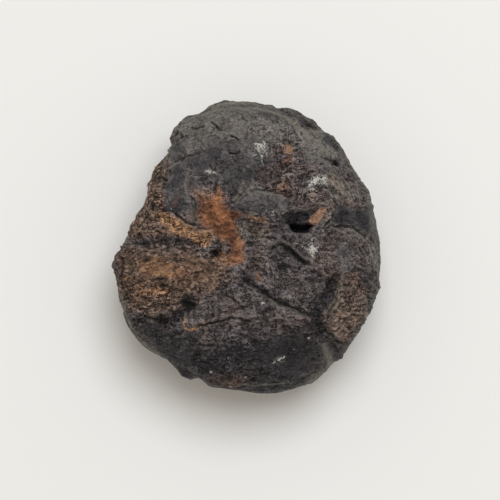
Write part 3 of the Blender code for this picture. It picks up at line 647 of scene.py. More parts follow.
# Pale lines, and painted light along crests, rims and edges that face the lamp
PALE_AND_LIT_MARKS = [
    Stroke(0.3, 0.6, [(-9, 25.2), (-7, 25.6), (-5.2, 26.4), (-3, 27), (-1, 27.4), (0.5, 27)]),
    Stroke(0.3, 0.9, [(0, 26.8), (2, 26.4), (5, 25.5), (7.4, 24.7), (9.4, 23.5), (10.3, 22.6)]),
    Stroke(0.35, 1, [(10.6, 22.2), (12, 21.9), (13.4, 22), (14.8, 22.2)]),
    Stroke(0.38, 1, [(7.4, 24.4), (9.3, 22.8), (11, 21.7), (13.3, 20), (14.7, 18.3), (16.4, 16.8)]),
    Stroke(0.25, 1, [(14.6, 16), (15.2, 15.5), (16, 15.4)]),
    Stroke(0.3, 0.5, [(15.6, 14.8), (16.8, 12.6), (17.8, 10.2)]),
    Stroke(0.2, 0.9, [(-10.6, 15.4), (-11.3, 13.4), (-11.5, 12), (-11.4, 10.5), (-10.8, 8.6)]),
    Stroke(0.26, 1, [(0.5, 12.8), (0.2, 11.8), (-0.6, 10.8), (-1.8, 9.5), (-2.8, 8.4)]),
    Stroke(0.22, 0.7, [(-2.2, 7.6), (-1.6, 8.7), (-0.8, 9.9), (0.5, 10.3), (2, 10.4), (4.5, 10.3)]),
    Stroke(0.25, 0.7, [
        (17.1, -5), (17.3, -7), (16.8, -8.5), (16.5, -10), (15.6, -11), (14.9, -12.5), (14.8, -14),
        (15.2, -15.5), (16.2, -17), (17, -17.9),
    ]),
    Stroke(0.22, 1, [(-11.4, -12), (-11.3, -13.2), (-10.8, -14.5), (-10.4, -14.9), (-8.8, -14.4)]),
    Stroke(0.22, 0.6, [(15.3, 6.2), (14.9, 5.4), (14.2, 4.7), (13.7, 4.2)]),
    Stroke(0.75, 0.8, [(14.2, -17.8), (15.2, -19.8), (15.9, -21.6), (15.9, -23.6)]),
    Stroke(0.2, 0.75, [
        (-13.6, -24.2), (-12.2, -25), (-10.6, -25.1), (-9.4, -25.7), (-7.4, -26.3), (-5, -26.4),
    ]),
    Stroke(0.18, 0.75, [(-2.4, -25.6), (0, -25.8), (1.6, -26.1), (3.4, -25.8), (6, -25.8), (8.4, -25.3)]),
    Stroke(0.3, 0.5, [(14.6, 9.5), (15.2, 8.5), (15.4, 7.5)]),
    Stroke(0.16, 0.9, [
        (-15.8, 14.2), (-14, 15.5), (-12.3, 16.5), (-10.8, 17.2), (-9.2, 17.6), (-8.2, 18.1),
    ]),
    Stroke(0.2, 0.8, [(-14.4, 19.6), (-15, 17.6), (-15.6, 15.6), (-16, 13.4), (-16.2, 10.6)]),
    Stroke(0.2, 0.9, [(18.4, 3.6), (21, 2.6), (23, 0.5), (24.2, -3.5)]),
    Stroke(0.16, 0.9, [(17.6, 3), (20.2, 1.8), (22.2, -0.8), (23.4, -4.6)]),
    Stroke(0.14, 0.7, [(14.2, 2.4), (16.6, 3.2), (18.6, 2.6), (20.6, 0.6), (21.8, -2.4)]),
    Stroke(0.16, 0.9, [(22.4, 2.2), (24, 0.4), (24.8, -2.4), (24.9, -5.4)]),
    Stroke(0.16, 0.8, [(-9.6, 24.8), (-6, 25.9), (-2.6, 26.4), (0.6, 26)]),
    Stroke(0.16, 0.9, [(-8, 26.4), (-4.6, 27.2), (-1, 27.7), (2, 27.6)]),
    Stroke(0.14, 0.7, [(-12.8, 23.4), (-11.4, 24.4), (-9.6, 25)]),
    Stroke(0.16, 0.6, [(12.6, -6.2), (14.4, -5.6), (16.4, -5.2)]),
    Stroke(0.16, 0.6, [(12.8, -6.4), (13.6, -8.6), (13, -10.4)]),
    Stroke(0.16, 0.8, [(-5.4, 13.4), (-6.2, 12), (-6.7, 10.2)]),
    Stroke(0.16, 0.5, [(-14.6, 20), (-13.4, 20.9), (-12.6, 21.7)]),
    Stroke(0.25, 0.8, [
        (-24.4, -6.5), (-23.8, -8.4), (-23.4, -10.4), (-22.8, -12.8), (-21.6, -15.2), (-19.8, -17.9),
        (-18, -19.6), (-15.4, -21),
    ]),
]
LAYERS = {
    "crust": CRUST_MARKS,
    "rust": RUST_MARKS,
    "grainy": GRAINY_MARKS,
    "banded": BANDED_MARKS,
    "tan": TAN_MARKS,
    "plate": PLATE_MARKS,
    "dark_and_shade": DARK_AND_SHADE_MARKS,
    "dust_and_light": DUST_AND_LIGHT_MARKS,
    "peach": PEACH_MARKS,
    "chalk": CHALK_MARKS,
    "black_and_shade": BLACK_AND_SHADE_MARKS,
    "pale_and_lit": PALE_AND_LIT_MARKS,
}

# The lower flank's patches: (size of the noise, its shift, the noise where they start and are full, strength)
ELSEWHERE = {
    "crust": (11.0, 0.0, -0.1, 0.3, 0.75),
    "rust": (7.0, 40.0, 0.35, 0.8, 0.7),
    "plate": (11.0, 0.0, 0.0, -0.3, 0.8),
}
# The painted marks start this far below the girth and are full this far above it
PAINTED_FROM = (-4.0, 1.0)

# The smooth strip round the girth: (first degree, last degree, strength), and how it ends and goes inwards
RIM_RUNS = [(20, 125, 0.9), (200, 232, 0.6), (325, 385, 0.8)]
RIM_FADE = 8
RIM_WRAP = 20
RIM_INWARDS = (0.90, 0.99)

# Colours are sRGB numbers of 0 to 255. Two-tone grounds: (darker, paler, the noise at which each is pure)
TONES = {
    "stone": ((46, 40, 43), (94, 87, 88), 0.3, 0.75),
    "plate": ((54, 52, 55), (96, 91, 91), 0.35, 0.75),
    "crust": ((58, 46, 42), (106, 85, 73), 0.35, 0.6),
    "rust": ((100, 63, 43), (150, 100, 67), 0.35, 0.65),
    "tan": ((100, 77, 61), (168, 129, 98), 0.36, 0.6),
    "peach": ((122, 92, 76), (182, 142, 116), 0.4, 0.55),
}
STONE_BROWN = (84, 73, 70)
CRUST_PALE = (126, 107, 94)
RUST_DARK = (74, 46, 34)
RIM = (73, 69, 62)
# Dark tone that also paints shade on the lower half and in hollows
DARK_AND_SHADE = (17, 17, 23)
# Pale film that also paints light on the upper part
DUST_AND_LIGHT = (100, 96, 92)
CHALK = (206, 205, 199)
# Pale colour of lines and of painted highlights
PALE_AND_LIT = (128, 123, 114)
# Near black, used for painted shade
SHADE_BLACK = (12, 11, 13)
# Spots and veins of a third colour: the noise where they start and where they are pure
BROWN_SPOTS = (0.45, 0.7)
PALE_WORMS = (0.46, 0.68)
DARK_FIBRES = (0.42, 0.24)
# How each layer ends: (how much noise tears its edge, half the width of that edge, its strength inside)
EDGES = {
    "plate": (0.5, 0.35, 1.0),
    "dust_and_light": (0.8, 0.5, 0.7),
    "dark_and_shade": (0.8, 0.5, 0.74),
    "rim": (0.4, 0.4, 0.7),
    "crust": (1.2, 0.5, 1.0),
    "rust": (0.8, 0.5, 0.9),
    "tan": (0.7, 0.5, 1.0),
    "crack_and_ledge_shade": (0.6, 0.5, 0.9),
    "black_and_shade": (0.5, 0.5, 1.0),
    "worn_and_lit": (2.0, 0.5, 1.0),
    "pale_and_lit": (1.5, 0.5, 0.8),
    "peach": (1.2, 0.4, 0.9),
}

# Sizes of the noise in the stone, in millimetres
GRAIN = 0.6
FINE_GRAIN = 0.24
WEB = 0.9
BREAKS = 2.4
CLOUDS = 3.2
SPOTS = 7.0
# Fibres: (size, how they are drawn out along the radius, the millimetres that a radian counts as)
RAYS = (0.6, 0.3, 9.0)
RINGS = (0.36, 1.0, 3.0)
# Hairline cracks: (size, how they are drawn out, degrees that they are turned by)
LEVEL_HAIRS = (1.5, 2.6, 4.0)
STEEP_HAIRS = (1.8, 2.2, -62.0)
# Half the width of the hairline gap and of its lip as shares of the noise, and how much each counts
HAIR = 0.034
GAP_SHADE = 0.7
LIP_SHADE = 0.5
HAIRS_ON_PLATE = 0.7

# How much the fine grain and the relief lighten and darken the stone: the relief as painted shade and light
SPECKLE = 1.35
FLECKS = (0.42, 0.58)
PAINTED_RELIEF_SHADE = 1.5
PLATE_CALM = 0.5
DARKEST = 0.2
OVERALL = 1.38
# The share of fine grain in the grit and of rings in banded grit, and of fine relief in what stands out
FINE_SHARE = 0.55
RING_SHARE = 0.75
RAISED_SHARE = 0.6
# How much that counts where the stone is dull, and how it is changed by grainy, rusted and golden places
DULL_CONTRAST = 0.62
GRAINY_MORE = 0.5
RUST_LESS = 0.7
TAN_LESS = 0.3
# How pale the painted highlights on the highest grains are
TOP_HIGHLIGHT = 0.35
# How pale the worn and lit brinks are where they are whole and where they are broken
BRINKS = (0.6, 0.35)
# How rough stone is under its clouds, and how rough crust is
SATIN = (0.45, 0.62)
MATT = 0.9
SPECULAR = 0.3
# How strong the bumps are on smooth stone and on crust, and how high they are, in metres
BUMPS = (0.7, 1.0)
BUMP_DEPTH = 0.0008

FLOOR = (241, 241, 241)
FLOOR_HALF = 1.6
SKY = (255, 247, 235)
SKY_STRENGTH = 0.52
LAMP_PLACE = (0.14, 0.30, 1.0)
LAMP_SIZE = 0.7
LAMP_POWER = 6.3
LAMP_COLOUR = (0.94, 0.98, 1.0)


def ease(start, end, value):
    """0 before start and 1 after end, with a smooth rise between."""
    share = np.clip((value - start) / (end - start), 0.0, 1.0)
    return share * share * (3.0 - 2.0 * share)


def lattice(across, high, half_height):
    """Directions to the points of a box's lattice, and the quads between them, facing out."""
    index = {}
    quads = []

    def point(i, j, k):
        return index.setdefault((i, j, k), len(index))

    def side(rows, columns, place):
        for a in range(rows):
            for b in range(columns):
                quads.append([point(*place(a + da, b + db)) for da, db in ((0, 0), (1, 0), (1, 1), (0, 1))])

    side(across, across, lambda a, b: (a, b, high))
    side(across, across, lambda a, b: (b, a, 0))
    side(across, high, lambda a, b: (a, 0, b))
    side(high, across, lambda a, b: (b, across, a))
    side(high, across, lambda a, b: (0, b, a))
    side(across, high, lambda a, b: (across, a, b))
    steps = np.array(list(index), float)
    # Equal angles, not equal lengths, keep the cells of each side alike in size
    spread = np.tan((steps / (across, across, high) - 0.5) * math.pi / 2)
    points = spread * (1.0, 1.0, half_height)
    return points / np.linalg.norm(points, axis=1)[:, None], quads


def outline_radius(angle):
    """How far the outline is from the middle at each angle."""
    points = np.array(OUTLINE)
    corner = np.unwrap(np.arctan2(points[:, 1], points[:, 0]))
    return np.interp(angle, corner, np.hypot(*points.T), period=2 * math.pi)


def broad_radius(angle):
    """The outline without its small bumps, as a few waves round the middle."""
    turn = np.linspace(0.0, 2 * math.pi, 720, endpoint=False)
    waves = np.fft.rfft(outline_radius(turn)) / len(turn)
    radius = np.full_like(angle, waves[0].real)
    for k in range(1, BROAD_WAVES + 1):
        radius += 2 * (waves[k] * np.exp(1j * k * angle)).real
    return radius


def body(directions):
    """The fossil without its relief: a full, rounded disc of the outline's shape."""
    angle = np.arctan2(directions[:, 1], directions[:, 0])
    level = np.abs(directions[:, 2])
    flat = np.hypot(directions[:, 0], directions[:, 1])
    above = directions[:, 2] > 0
    fullness = np.where(above, CROWN_FULLNESS, FLANK_FULLNESS)
    height = np.where(above, CROWN_RISE, FLANK_DROP)
    size = (flat**fullness + level**fullness) ** (1.0 / fullness)
    broad = broad_radius(angle)
    radius = broad + (outline_radius(angle) - broad) * ease(*BUMPS_FADE, level)
    points = directions * np.column_stack([radius, radius, height]) / size[:, None]
    return points + (0.0, 0.0, GIRTH_HEIGHT)


def seen_places(points):
    """Where each point lies in the tipped plane, as (across, along)."""
    along = points[:, 1] * math.cos(SIGHT_TIP) + (points[:, 2] - GIRTH_HEIGHT) * math.sin(SIGHT_TIP)
    return np.column_stack([points[:, 0], along])


def follow(places, path):
    """For each place: its distance from the path, positive on the left, and its share of the way along it."""
    corners = np.array(path, float)
    runs = np.linalg.norm(np.diff(corners, axis=0), axis=1)
    starts = np.concatenate([[0.0], np.cumsum(runs)])
    nearest = np.full(len(places), np.inf)
    signed = np.zeros(len(places))
    share = np.zeros(len(places))
    for a, b, run, start in zip(corners[:-1], corners[1:], runs, starts[:-1]):
        way = (b - a) / run
        from_a = places - a
        reach = np.clip(from_a @ way, 0.0, run)
        gap = np.linalg.norm(from_a - reach[:, None] * way, axis=1)
        closer = gap < nearest
        left = way[0] * from_a[:, 1] - way[1] * from_a[:, 0] > 0
        nearest[closer] = gap[closer]
        signed[closer] = np.where(left, gap, -gap)[closer]
        share[closer] = ((start + reach) / starts[-1])[closer]
    return signed, share


def near(places, path, reach):
    """Which places can be within reach of the path."""
    corners = np.array(path)
    inside = (places > corners.min(axis=0) - reach) & (places < corners.max(axis=0) + reach)
    return inside.all(axis=1)


def fade_at_ends(share):
    return ease(0.0, END_FADE, share) * ease(0.0, END_FADE, 1.0 - share)


def oval_gap(places, oval):
    """Distance from the oval's middle, 1 at its edge."""
    turn = math.radians(oval.turn)
    off = places - oval.place
    across = off[:, 0] * math.cos(turn) + off[:, 1] * math.sin(turn)
    along = off[:, 1] * math.cos(turn) - off[:, 0] * math.sin(turn)
    return np.hypot(across / oval.half_sizes[0], along / oval.half_sizes[1])


def swell_height(places, oval):
    return oval.amount * np.exp(-oval_gap(places, oval) ** 2)


def stroke_strength(places, stroke):
    """1 along the middle of the stroke, falling off over its half width and towards its ends."""
    strength = np.zeros(len(places))
    close = near(places, stroke.path, WIDTHS_FELT * stroke.width)
    signed, share = follow(places[close], stroke.path)
    strength[close] = np.exp(-((signed / stroke.width) ** 2)) * fade_at_ends(share)
    return strength


def ledge_height(places, ledge):
    height = np.zeros(len(places))
    close = near(places, ledge.path, WIDTHS_FELT * ledge.reach)
    signed, share = follow(places[close], ledge.path)
    step = ease(-LEDGE_RUN, LEDGE_RUN, signed) * np.exp(-np.maximum(signed, 0.0) / ledge.reach)
    height[close] = ledge.height * step * fade_at_ends(share)
    return height


def ledge_lines(places, ledge):
    """The worn and lit brink of the ledge and the painted shade at its foot, each from 0 to 1."""
    brink = np.zeros(len(places))
    foot = np.zeros(len(places))
    close = near(places, ledge.path, WIDTHS_FELT * LINE_WIDTH)
    signed, share = follow(places[close], ledge.path)
    shown = fade_at_ends(share) * min(1.0, ledge.height)
    brink[close] = np.exp(-(((signed - LEDGE_RUN) / LINE_WIDTH) ** 2)) * shown
    foot[close] = np.exp(-(((signed + LEDGE_RUN) / LINE_WIDTH) ** 2)) * shown
    return brink, foot


def area_strength(places, area):
    """1 well inside the outline, 0.5 on it and 0 outside."""
    strength = np.zeros(len(places))
    close = near(places, area.path, area.softness)
    outline = np.array(area.path + area.path[:1])
    spots = places[close]
    inside = np.zeros(len(spots), bool)
    for a, b in zip(outline[:-1], outline[1:]):
        spans = (a[1] > spots[:, 1]) != (b[1] > spots[:, 1])
        rise = (spots[:, 1] - a[1]) / (b[1] - a[1] if b[1] != a[1] else 1.0)
        inside ^= spans & (spots[:, 0] < a[0] + rise * (b[0] - a[0]))
    gap = np.abs(follow(spots, outline)[0])
    strength[close] = ease(-area.softness, area.softness, np.where(inside, gap, -gap))
    return strength


def layer_strength(places, marks):
    """How strongly a layer of marks covers each place, from 0 to 1."""
    strength = np.zeros(len(places))
    for mark in marks:
        if isinstance(mark, Stroke):
            strength += mark.amount * stroke_strength(places, mark)
        elif isinstance(mark, Area):
            strength += mark.amount * area_strength(places, mark)
        else:
            strength += mark.amount * np.exp(-oval_gap(places, mark) ** 3)
    return np.clip(strength, 0.0, 1.0)


def measure(points, size, rule):
    """One number for each point, from a rule of its place counted in steps of that size."""
    return np.array([rule(Vector(p)) for p in points / size])


def wear(points, size, height):
    return height * measure(points, size, lambda p: noise.fractal(p, 1.0, 2.0, 3))


def crumbs(points, size, height):
    """Rounded grains with gaps between them."""
    return height * (0.5 - measure(points, size, lambda p: noise.voronoi(p)[0][0]))


def flakes(points, size, height):
    """Thin layers that have broken away in steps."""
    level = measure(points, size, lambda p: noise.fractal(p, 0.9, 2.0, 4)) / FLAKE_STEP
    whole = np.floor(level)
    return height * FLAKE_STEP * (whole + ease(0.3, 0.7, level - whole))


def creases(points, size, height):
    """Lumps of many sizes with sharp creases between them, as where a crust has corroded."""
    return height * (measure(points, size, lambda p: noise.turbulence(p, 4, True)) - 0.6)


def wander(points, size, reach):
    """A sideways shift for each point, which bends straight edges."""
    return reach * np.array([noise.noise_vector(Vector(p))[:2] for p in points / size])


def upper_relief(places, wandered):
    height = np.zeros(len(places))
    for swell in SWELLS.values():
        height += swell_height(places, swell)
    for groove in GROOVES.values():
        height -= groove.amount * stroke_strength(places, groove)
    for ledge in LEDGES.values():
        height += ledge_height(wandered, ledge)
    return height


def cracks_height(places):
    height = np.zeros(len(places))
    for crack in CRACKS:
        height -= crack.amount * stroke_strength(places, crack)
    for pit in PITS:
        height += swell_height(places, pit)
    for hollow in HOLLOWS:
        height -= hollow.amount * area_strength(places, hollow)
    return height


def lines(places):
    """Where brinks and the lower lips of cracks are pale with painted light, and where cracks and ledge feet
    have painted shade.
    """
    pale = np.zeros(len(places))
    dark = np.zeros(len(places))
    for ledge in LEDGES.values():
        brink, foot = ledge_lines(places, ledge)
        pale = np.maximum(pale, LEDGE_SHOWN * brink)
        dark = np.maximum(dark, LEDGE_SHOWN * foot)
    for crack in CRACKS:
        shown = min(1.0, CRACK_SHOWN * crack.amount)
        thin = crack._replace(width=CRACK_LINE * crack.width)
        dark = np.maximum(dark, shown * stroke_strength(places, thin))
        pale = np.maximum(pale, LIP * shown * stroke_strength(places + (0.0, LIP_DROP), thin))
    return pale, dark


def lower_relief(places):
    """The other flank: a sunk umbilicus with the seam of the coil winding out of it."""
    off = places - UMBILICUS
    radius = np.maximum(np.hypot(*off.T), 0.1)
    turns = (np.log(radius / COIL_START) / COIL_GROWTH - np.arctan2(off[:, 1], off[:, 0])) / (2 * math.pi)
    gap = (turns - np.round(turns)) * 2 * math.pi * COIL_GROWTH * radius
    grown = SEAM_WIDTH * np.sqrt(radius / COIL_START)
    shown = ease(0.8, COIL_START, radius) * ease(COIL_END, 0.6 * COIL_END, radius)
    return swell_height(places, UNDER_UMBILICUS) - SEAM_DEPTH * np.exp(-((gap / grown) ** 2)) * shown


def standing_out(mesh, height, rounds, reach):
    """Each vertex's height above its surroundings, from 0 (sunk by reach) to 1. More rounds look further."""
    pairs = np.empty(len(mesh.edges) * 2, np.int32)
    mesh.edges.foreach_get("vertices", pairs)
    first, second = pairs.reshape(-1, 2).T
    neighbours = np.bincount(pairs, minlength=len(height))
    level = height.copy()
    for _ in range(rounds):
        total = np.bincount(first, level[second], len(level)) + np.bincount(second, level[first], len(level))
        level = 0.2 * level + 0.8 * total / neighbours
    return 0.5 + 0.5 * (height - level) / reach


def outward_directions(points, quads):
    """The direction that faces out at each point, from the quads round it."""
    rings = np.array(quads)
    corners = points[rings]
    faces = np.cross(corners[:, 2] - corners[:, 0], corners[:, 3] - corners[:, 1])
    outward = np.zeros_like(points)
    for corner in rings.T:
        np.add.at(outward, corner, faces)
    return outward / np.linalg.norm(outward, axis=1)[:, None]


def rough_share(places, upper, points):
    """How crumbly the stone is at each point."""
    crust = layer_strength(places, CRUST_MARKS)
    rough = BARE_ROUGHNESS + np.maximum(crust, RUST_ROUGHNESS * layer_strength(places, RUST_MARKS))
    smooth = BARE_ROUGHNESS * layer_strength(places, PLATE_MARKS)
    elsewhere = ease(-0.1, 0.3, measure(points, 11.0, lambda p: noise.noise(p)))
    return upper * np.clip(rough - smooth, PLATE_ROUGHNESS, 1.0) + (1 - upper) * (0.35 + 0.5 * elsewhere)


def fossil_mesh():
    directions, quads = lattice(CELLS_ACROSS, CELLS_HIGH, LATTICE_HALF_HEIGHT)
    points = body(directions)
    mesh = bpy.data.meshes.new("ammonite_surface")
    mesh.from_pydata(points.tolist(), [], quads)
    upper = ease(*UPPER_FLANK, directions[:, 2])
    lower = ease(*LOWER_FLANK, directions[:, 2])
    places = seen_places(points)
    bend = wander(points, *FINE_WANDER)
    wandered = places + CRACK_WANDER * bend
    rough = rough_share(places + wander(points, *BROAD_WANDER) + bend, upper, points)
    calm = 1.0 - GIRTH_CALM * np.exp(-(directions[:, 2] / GIRTH_HALF) ** 2)
    drawn_out = points * WRINKLE_STRETCH
    fine = rough * (creases(drawn_out, *CREASES) + crumbs(drawn_out, *CRUMBS))
    fine += (LEAST_WRINKLED + (1 - LEAST_WRINKLED) * rough) * wear(drawn_out, *WRINKLES)
    flaky = (LEAST_FLAKY + (1 - LEAST_FLAKY) * rough) * flakes(points, *FLAKES)
    ripples = layer_strength(places, RIPPLED) * upper * creases(points * RIPPLE_STRETCH, *RIPPLES)
    height = upper * (upper_relief(places, wandered) + cracks_height(wandered))
    height += lower * lower_relief(points[:, :2])
    height += calm * (wear(points, *BROAD_WEAR) + wear(points, *FINE_WEAR) + flaky + fine + ripples)
    # Heights above the surroundings, which the material paints as shade in hollows and light on tops
    store(mesh, "raised", standing_out(mesh, height, *FINE_LOOK))
    store(mesh, "bulging", standing_out(mesh, height, *BROAD_LOOK))
    # Pale brinks and crack lips (wear and painted light), dark cracks and ledge feet (painted shade)
    pale, dark = lines(wandered)
    store(mesh, "worn_and_lit", upper * pale)
    store(mesh, "crack_and_ledge_shade", upper * dark)
    points = points + outward_directions(points, quads) * height[:, None]
    low = points.min(axis=0)
    high = points.max(axis=0)
    points[:, :2] -= (low + high)[:2] / 2
    points *= LENGTH / (high - low)[1]
    # Worn flat where it rests
    points[:, 2] = np.maximum(points[:, 2], 0.0)
    mesh.vertices.foreach_set("co", (points / 1000.0).astype(np.float32).ravel())
    mesh.update()
    return mesh, directions[:, 2]


def thinned(fossil, level):
    """The fossil's mesh with fewer triangles, above all on the lower flank, which the camera doesn't see."""
    below = fossil.vertex_groups.new(name="below")
    unseen = np.flatnonzero(level < UNSEEN_LEVEL)
    below.add(unseen.tolist(), 1.0, "REPLACE")
    corners = np.empty(len(fossil.data.polygons) * 4, np.int32)
    fossil.data.polygons.foreach_get("vertices", corners)
    hidden = np.isin(corners.reshape(-1, 4), unseen).all(axis=1).mean()
    first = fossil.modifiers.new("Fewer triangles below", "DECIMATE")
    first.ratio = 1.0 - hidden * (1.0 - UNSEEN_KEPT)
    first.vertex_group = below.name
    first.vertex_group_factor = 1.0
    second = fossil.modifiers.new("Fewer triangles", "DECIMATE")
    second.ratio = TRIANGLES / (2 * len(fossil.data.polygons) * first.ratio)
    second.use_collapse_triangulate = True
    shaped = fossil.evaluated_get(bpy.context.evaluated_depsgraph_get())
    mesh = bpy.data.meshes.new_from_object(shaped)
    fossil.modifiers.clear()
    fossil.vertex_groups.remove(below)
    return mesh


def patches(points, size, shift, start, full, strength):
    cloud = measure(points + shift, size, lambda p: noise.fractal(p, 0.8, 2.0, 4))
    return strength * ease(start, full, cloud)


def paint(mesh):
    """Stores how strongly each layer covers each vertex."""
    points = np.empty(len(mesh.vertices) * 3, np.float32)
    mesh.vertices.foreach_get("co", points)
    points = points.reshape(-1, 3) * 1000.0
    upper = ease(*PAINTED_FROM, points[:, 2] - GIRTH_HEIGHT)
    places = seen_places(points)
    fine = wander(points, *FINE_WANDER)
    broad = places + wander(points, *BROAD_WANDER) + fine
    sharp = places + SHARP_WANDER * fine
    for name, marks in LAYERS.items():
        kept = sharp if name in ("peach", "chalk", "black_and_shade", "pale_and_lit") else broad
        strength = upper * layer_strength(kept, marks)
        if name in ELSEWHERE:
            strength += (1 - upper) * patches(points, *ELSEWHERE[name])
        store(mesh, name, strength)
    store(mesh, "rim", rim_strength(points))


def rim_strength(points):
    """The smooth strip of shell that runs round most of the girth."""
    angle = np.degrees(np.arctan2(points[:, 1], points[:, 0])) % 360
    radius = np.hypot(points[:, 0], points[:, 1])
    outer = ease(*RIM_INWARDS, radius / outline_radius(np.radians(angle)))
    strength = np.zeros(len(points))
    for start, end, amount in RIM_RUNS:
        turn = np.where(angle < start - RIM_WRAP, angle + 360, angle)
        begun = ease(start - RIM_FADE, start + RIM_FADE, turn)
        strength += amount * begun * ease(end + RIM_FADE, end - RIM_FADE, turn)
    return np.clip(strength, 0, 1) * outer


def store(mesh, name, values):
    attribute = mesh.attributes.new(name, "FLOAT", "POINT")
    attribute.data.foreach_set("value", np.clip(values, 0.0, 1.0).astype(np.float32))


def linear(colour):
    """A linear colour from sRGB numbers of 0 to 255."""
    shares = [part / 255.0 for part in colour]
    return tuple(s / 12.92 if s <= 0.04045 else ((s + 0.055) / 1.055) ** 2.4 for s in shares) + (1.0,)


class Shading:
    """Adds nodes to one material. Inputs are numbers, colours or other nodes' outputs."""

    def __init__(self, material):
        material.use_nodes = True
        self.tree = material.node_tree
        self.surface = self.tree.nodes["Principled BSDF"]
        self.place = self.node("ShaderNodeTexCoord").outputs["Object"]

    def node(self, kind, inputs=None, **settings):
        made = self.tree.nodes.new(kind)
        for name, value in settings.items():
            setattr(made, name, value)
        for key, value in (inputs or {}).items():
            self.feed(made.inputs[key], value)
        return made

    def feed(self, socket, value):
        if isinstance(value, bpy.types.NodeSocket):
            self.tree.links.new(value, socket)
        else:
            socket.default_value = value

    def layer(self, name):
        return self.node("ShaderNodeAttribute", attribute_name=name).outputs["Fac"]

    def speckle(self, size, detail=3.0, stretch=(1.0, 1.0, 1.0), offset=0.0):
        """Cloudy noise with features of that size in millimetres, about 0.5 on the whole."""
        placed = self.node(
            "ShaderNodeMapping",
            {"Vector": self.place, "Scale": stretch, "Location": (offset, 0.0, 0.0)},
        )
        inputs = {"Vector": placed.outputs["Vector"], "Scale": 1000.0 / size, "Detail": detail}
        return self.node("ShaderNodeTexNoise", inputs).outputs["Fac"]

    def streaks(self, size, length, degrees, detail=2.0, offset=0.0):
        """Noise drawn out by some factor along lines that are turned anticlockwise by some degrees."""
        placed = self.node(
            "ShaderNodeMapping",
            {"Vector": self.place, "Scale": (length, 1.0, 1.0), "Rotation": (0.0, 0.0, math.radians(degrees)),
             "Location": (offset, 0.0, 0.0)},
            vector_type="TEXTURE",
        )
        inputs = {"Vector": placed.outputs["Vector"], "Scale": 1000.0 / size, "Detail": detail}
        return self.node("ShaderNodeTexNoise", inputs).outputs["Fac"]

    def hairlines(self, noise_value, shown):
        """How much hairline cracks and the lips beside them lighten the stone, from below 0 to above 0."""
        off = self.math("SUBTRACT", noise_value, 0.5)
        gap = self.between(self.math("ABSOLUTE", off), HAIR, 0.3 * HAIR)
        lip = self.between(self.math("ABSOLUTE", self.math("SUBTRACT", off, 1.7 * HAIR)), HAIR, 0.3 * HAIR)
        change = self.math("MULTIPLY_ADD", lip, LIP_SHADE, self.math("MULTIPLY", gap, -GAP_SHADE))
        return self.math("MULTIPLY", change, shown)

    def math(self, operation, *numbers):
        return self.node("ShaderNodeMath", dict(enumerate(numbers)), operation=operation).outputs[0]

    def between(self, value, start, end):
        """0 at start and 1 at end, held outside them."""
        inputs = {"Value": value, "From Min": start, "From Max": end}
        return self.node("ShaderNodeMapRange", inputs, interpolation_type="SMOOTHSTEP").outputs["Result"]

    def mix(self, amount, under, over):
        made = self.node("ShaderNodeMix", {0: amount, 6: under, 7: over}, data_type="RGBA")
        return made.outputs[2]

    def mix_number(self, amount, under, over):
        return self.node("ShaderNodeMix", {0: amount, 2: under, 3: over}).outputs[0]

    def scaled(self, colour, factor):
        made = self.node("ShaderNodeVectorMath", {0: colour, "Scale": factor}, operation="SCALE")
        return made.outputs["Vector"]

    def torn(self, name, grain):
        """A layer whose edge is torn by grain."""
        break_up, softness, strongest = EDGES[name]
        change = self.math("MULTIPLY_ADD", self.math("SUBTRACT", grain, 0.5), break_up, 1.0)
        covered = self.math("MULTIPLY", self.layer(name), change)
        return self.math("MULTIPLY", self.between(covered, 0.5 - softness, 0.5 + softness), strongest)

    def two_tone(self, name, noise_value):
        dark, pale, start, end = TONES[name]
        return self.mix(self.between(noise_value, start, end), linear(dark), linear(pale))

    def turned(self, middle, size, outward, around, seam=1.0, detail=3.0):
        """Noise drawn out along rays from a middle, or along rings round it where outward is 1."""
        centre = self.node("ShaderNodeCombineXYZ", {"X": middle[0] / 1000.0, "Y": middle[1] / 1000.0})
        away = self.node("ShaderNodeVectorMath", {0: self.place, 1: centre.outputs[0]}, operation="SUBTRACT")
        parts = self.node("ShaderNodeSeparateXYZ", {0: away.outputs["Vector"]}).outputs
        squares = [self.math("POWER", parts[axis], 2.0) for axis in "XY"]
        radius = self.math("SQRT", self.math("ADD", *squares))
        turn = self.math("ARCTAN2", parts["Y"], self.math("MULTIPLY", parts["X"], seam))
        drawn = {
            "X": self.math("MULTIPLY", radius, outward),
            "Y": self.math("MULTIPLY", turn, around / 1000.0),
            "Z": parts["Z"],
        }
        spot = self.node("ShaderNodeCombineXYZ", drawn).outputs[0]
        inputs = {"Vector": spot, "Scale": 1000.0 / size, "Detail": detail, "Distortion": 0.6}
        return self.node("ShaderNodeTexNoise", inputs).outputs["Fac"]


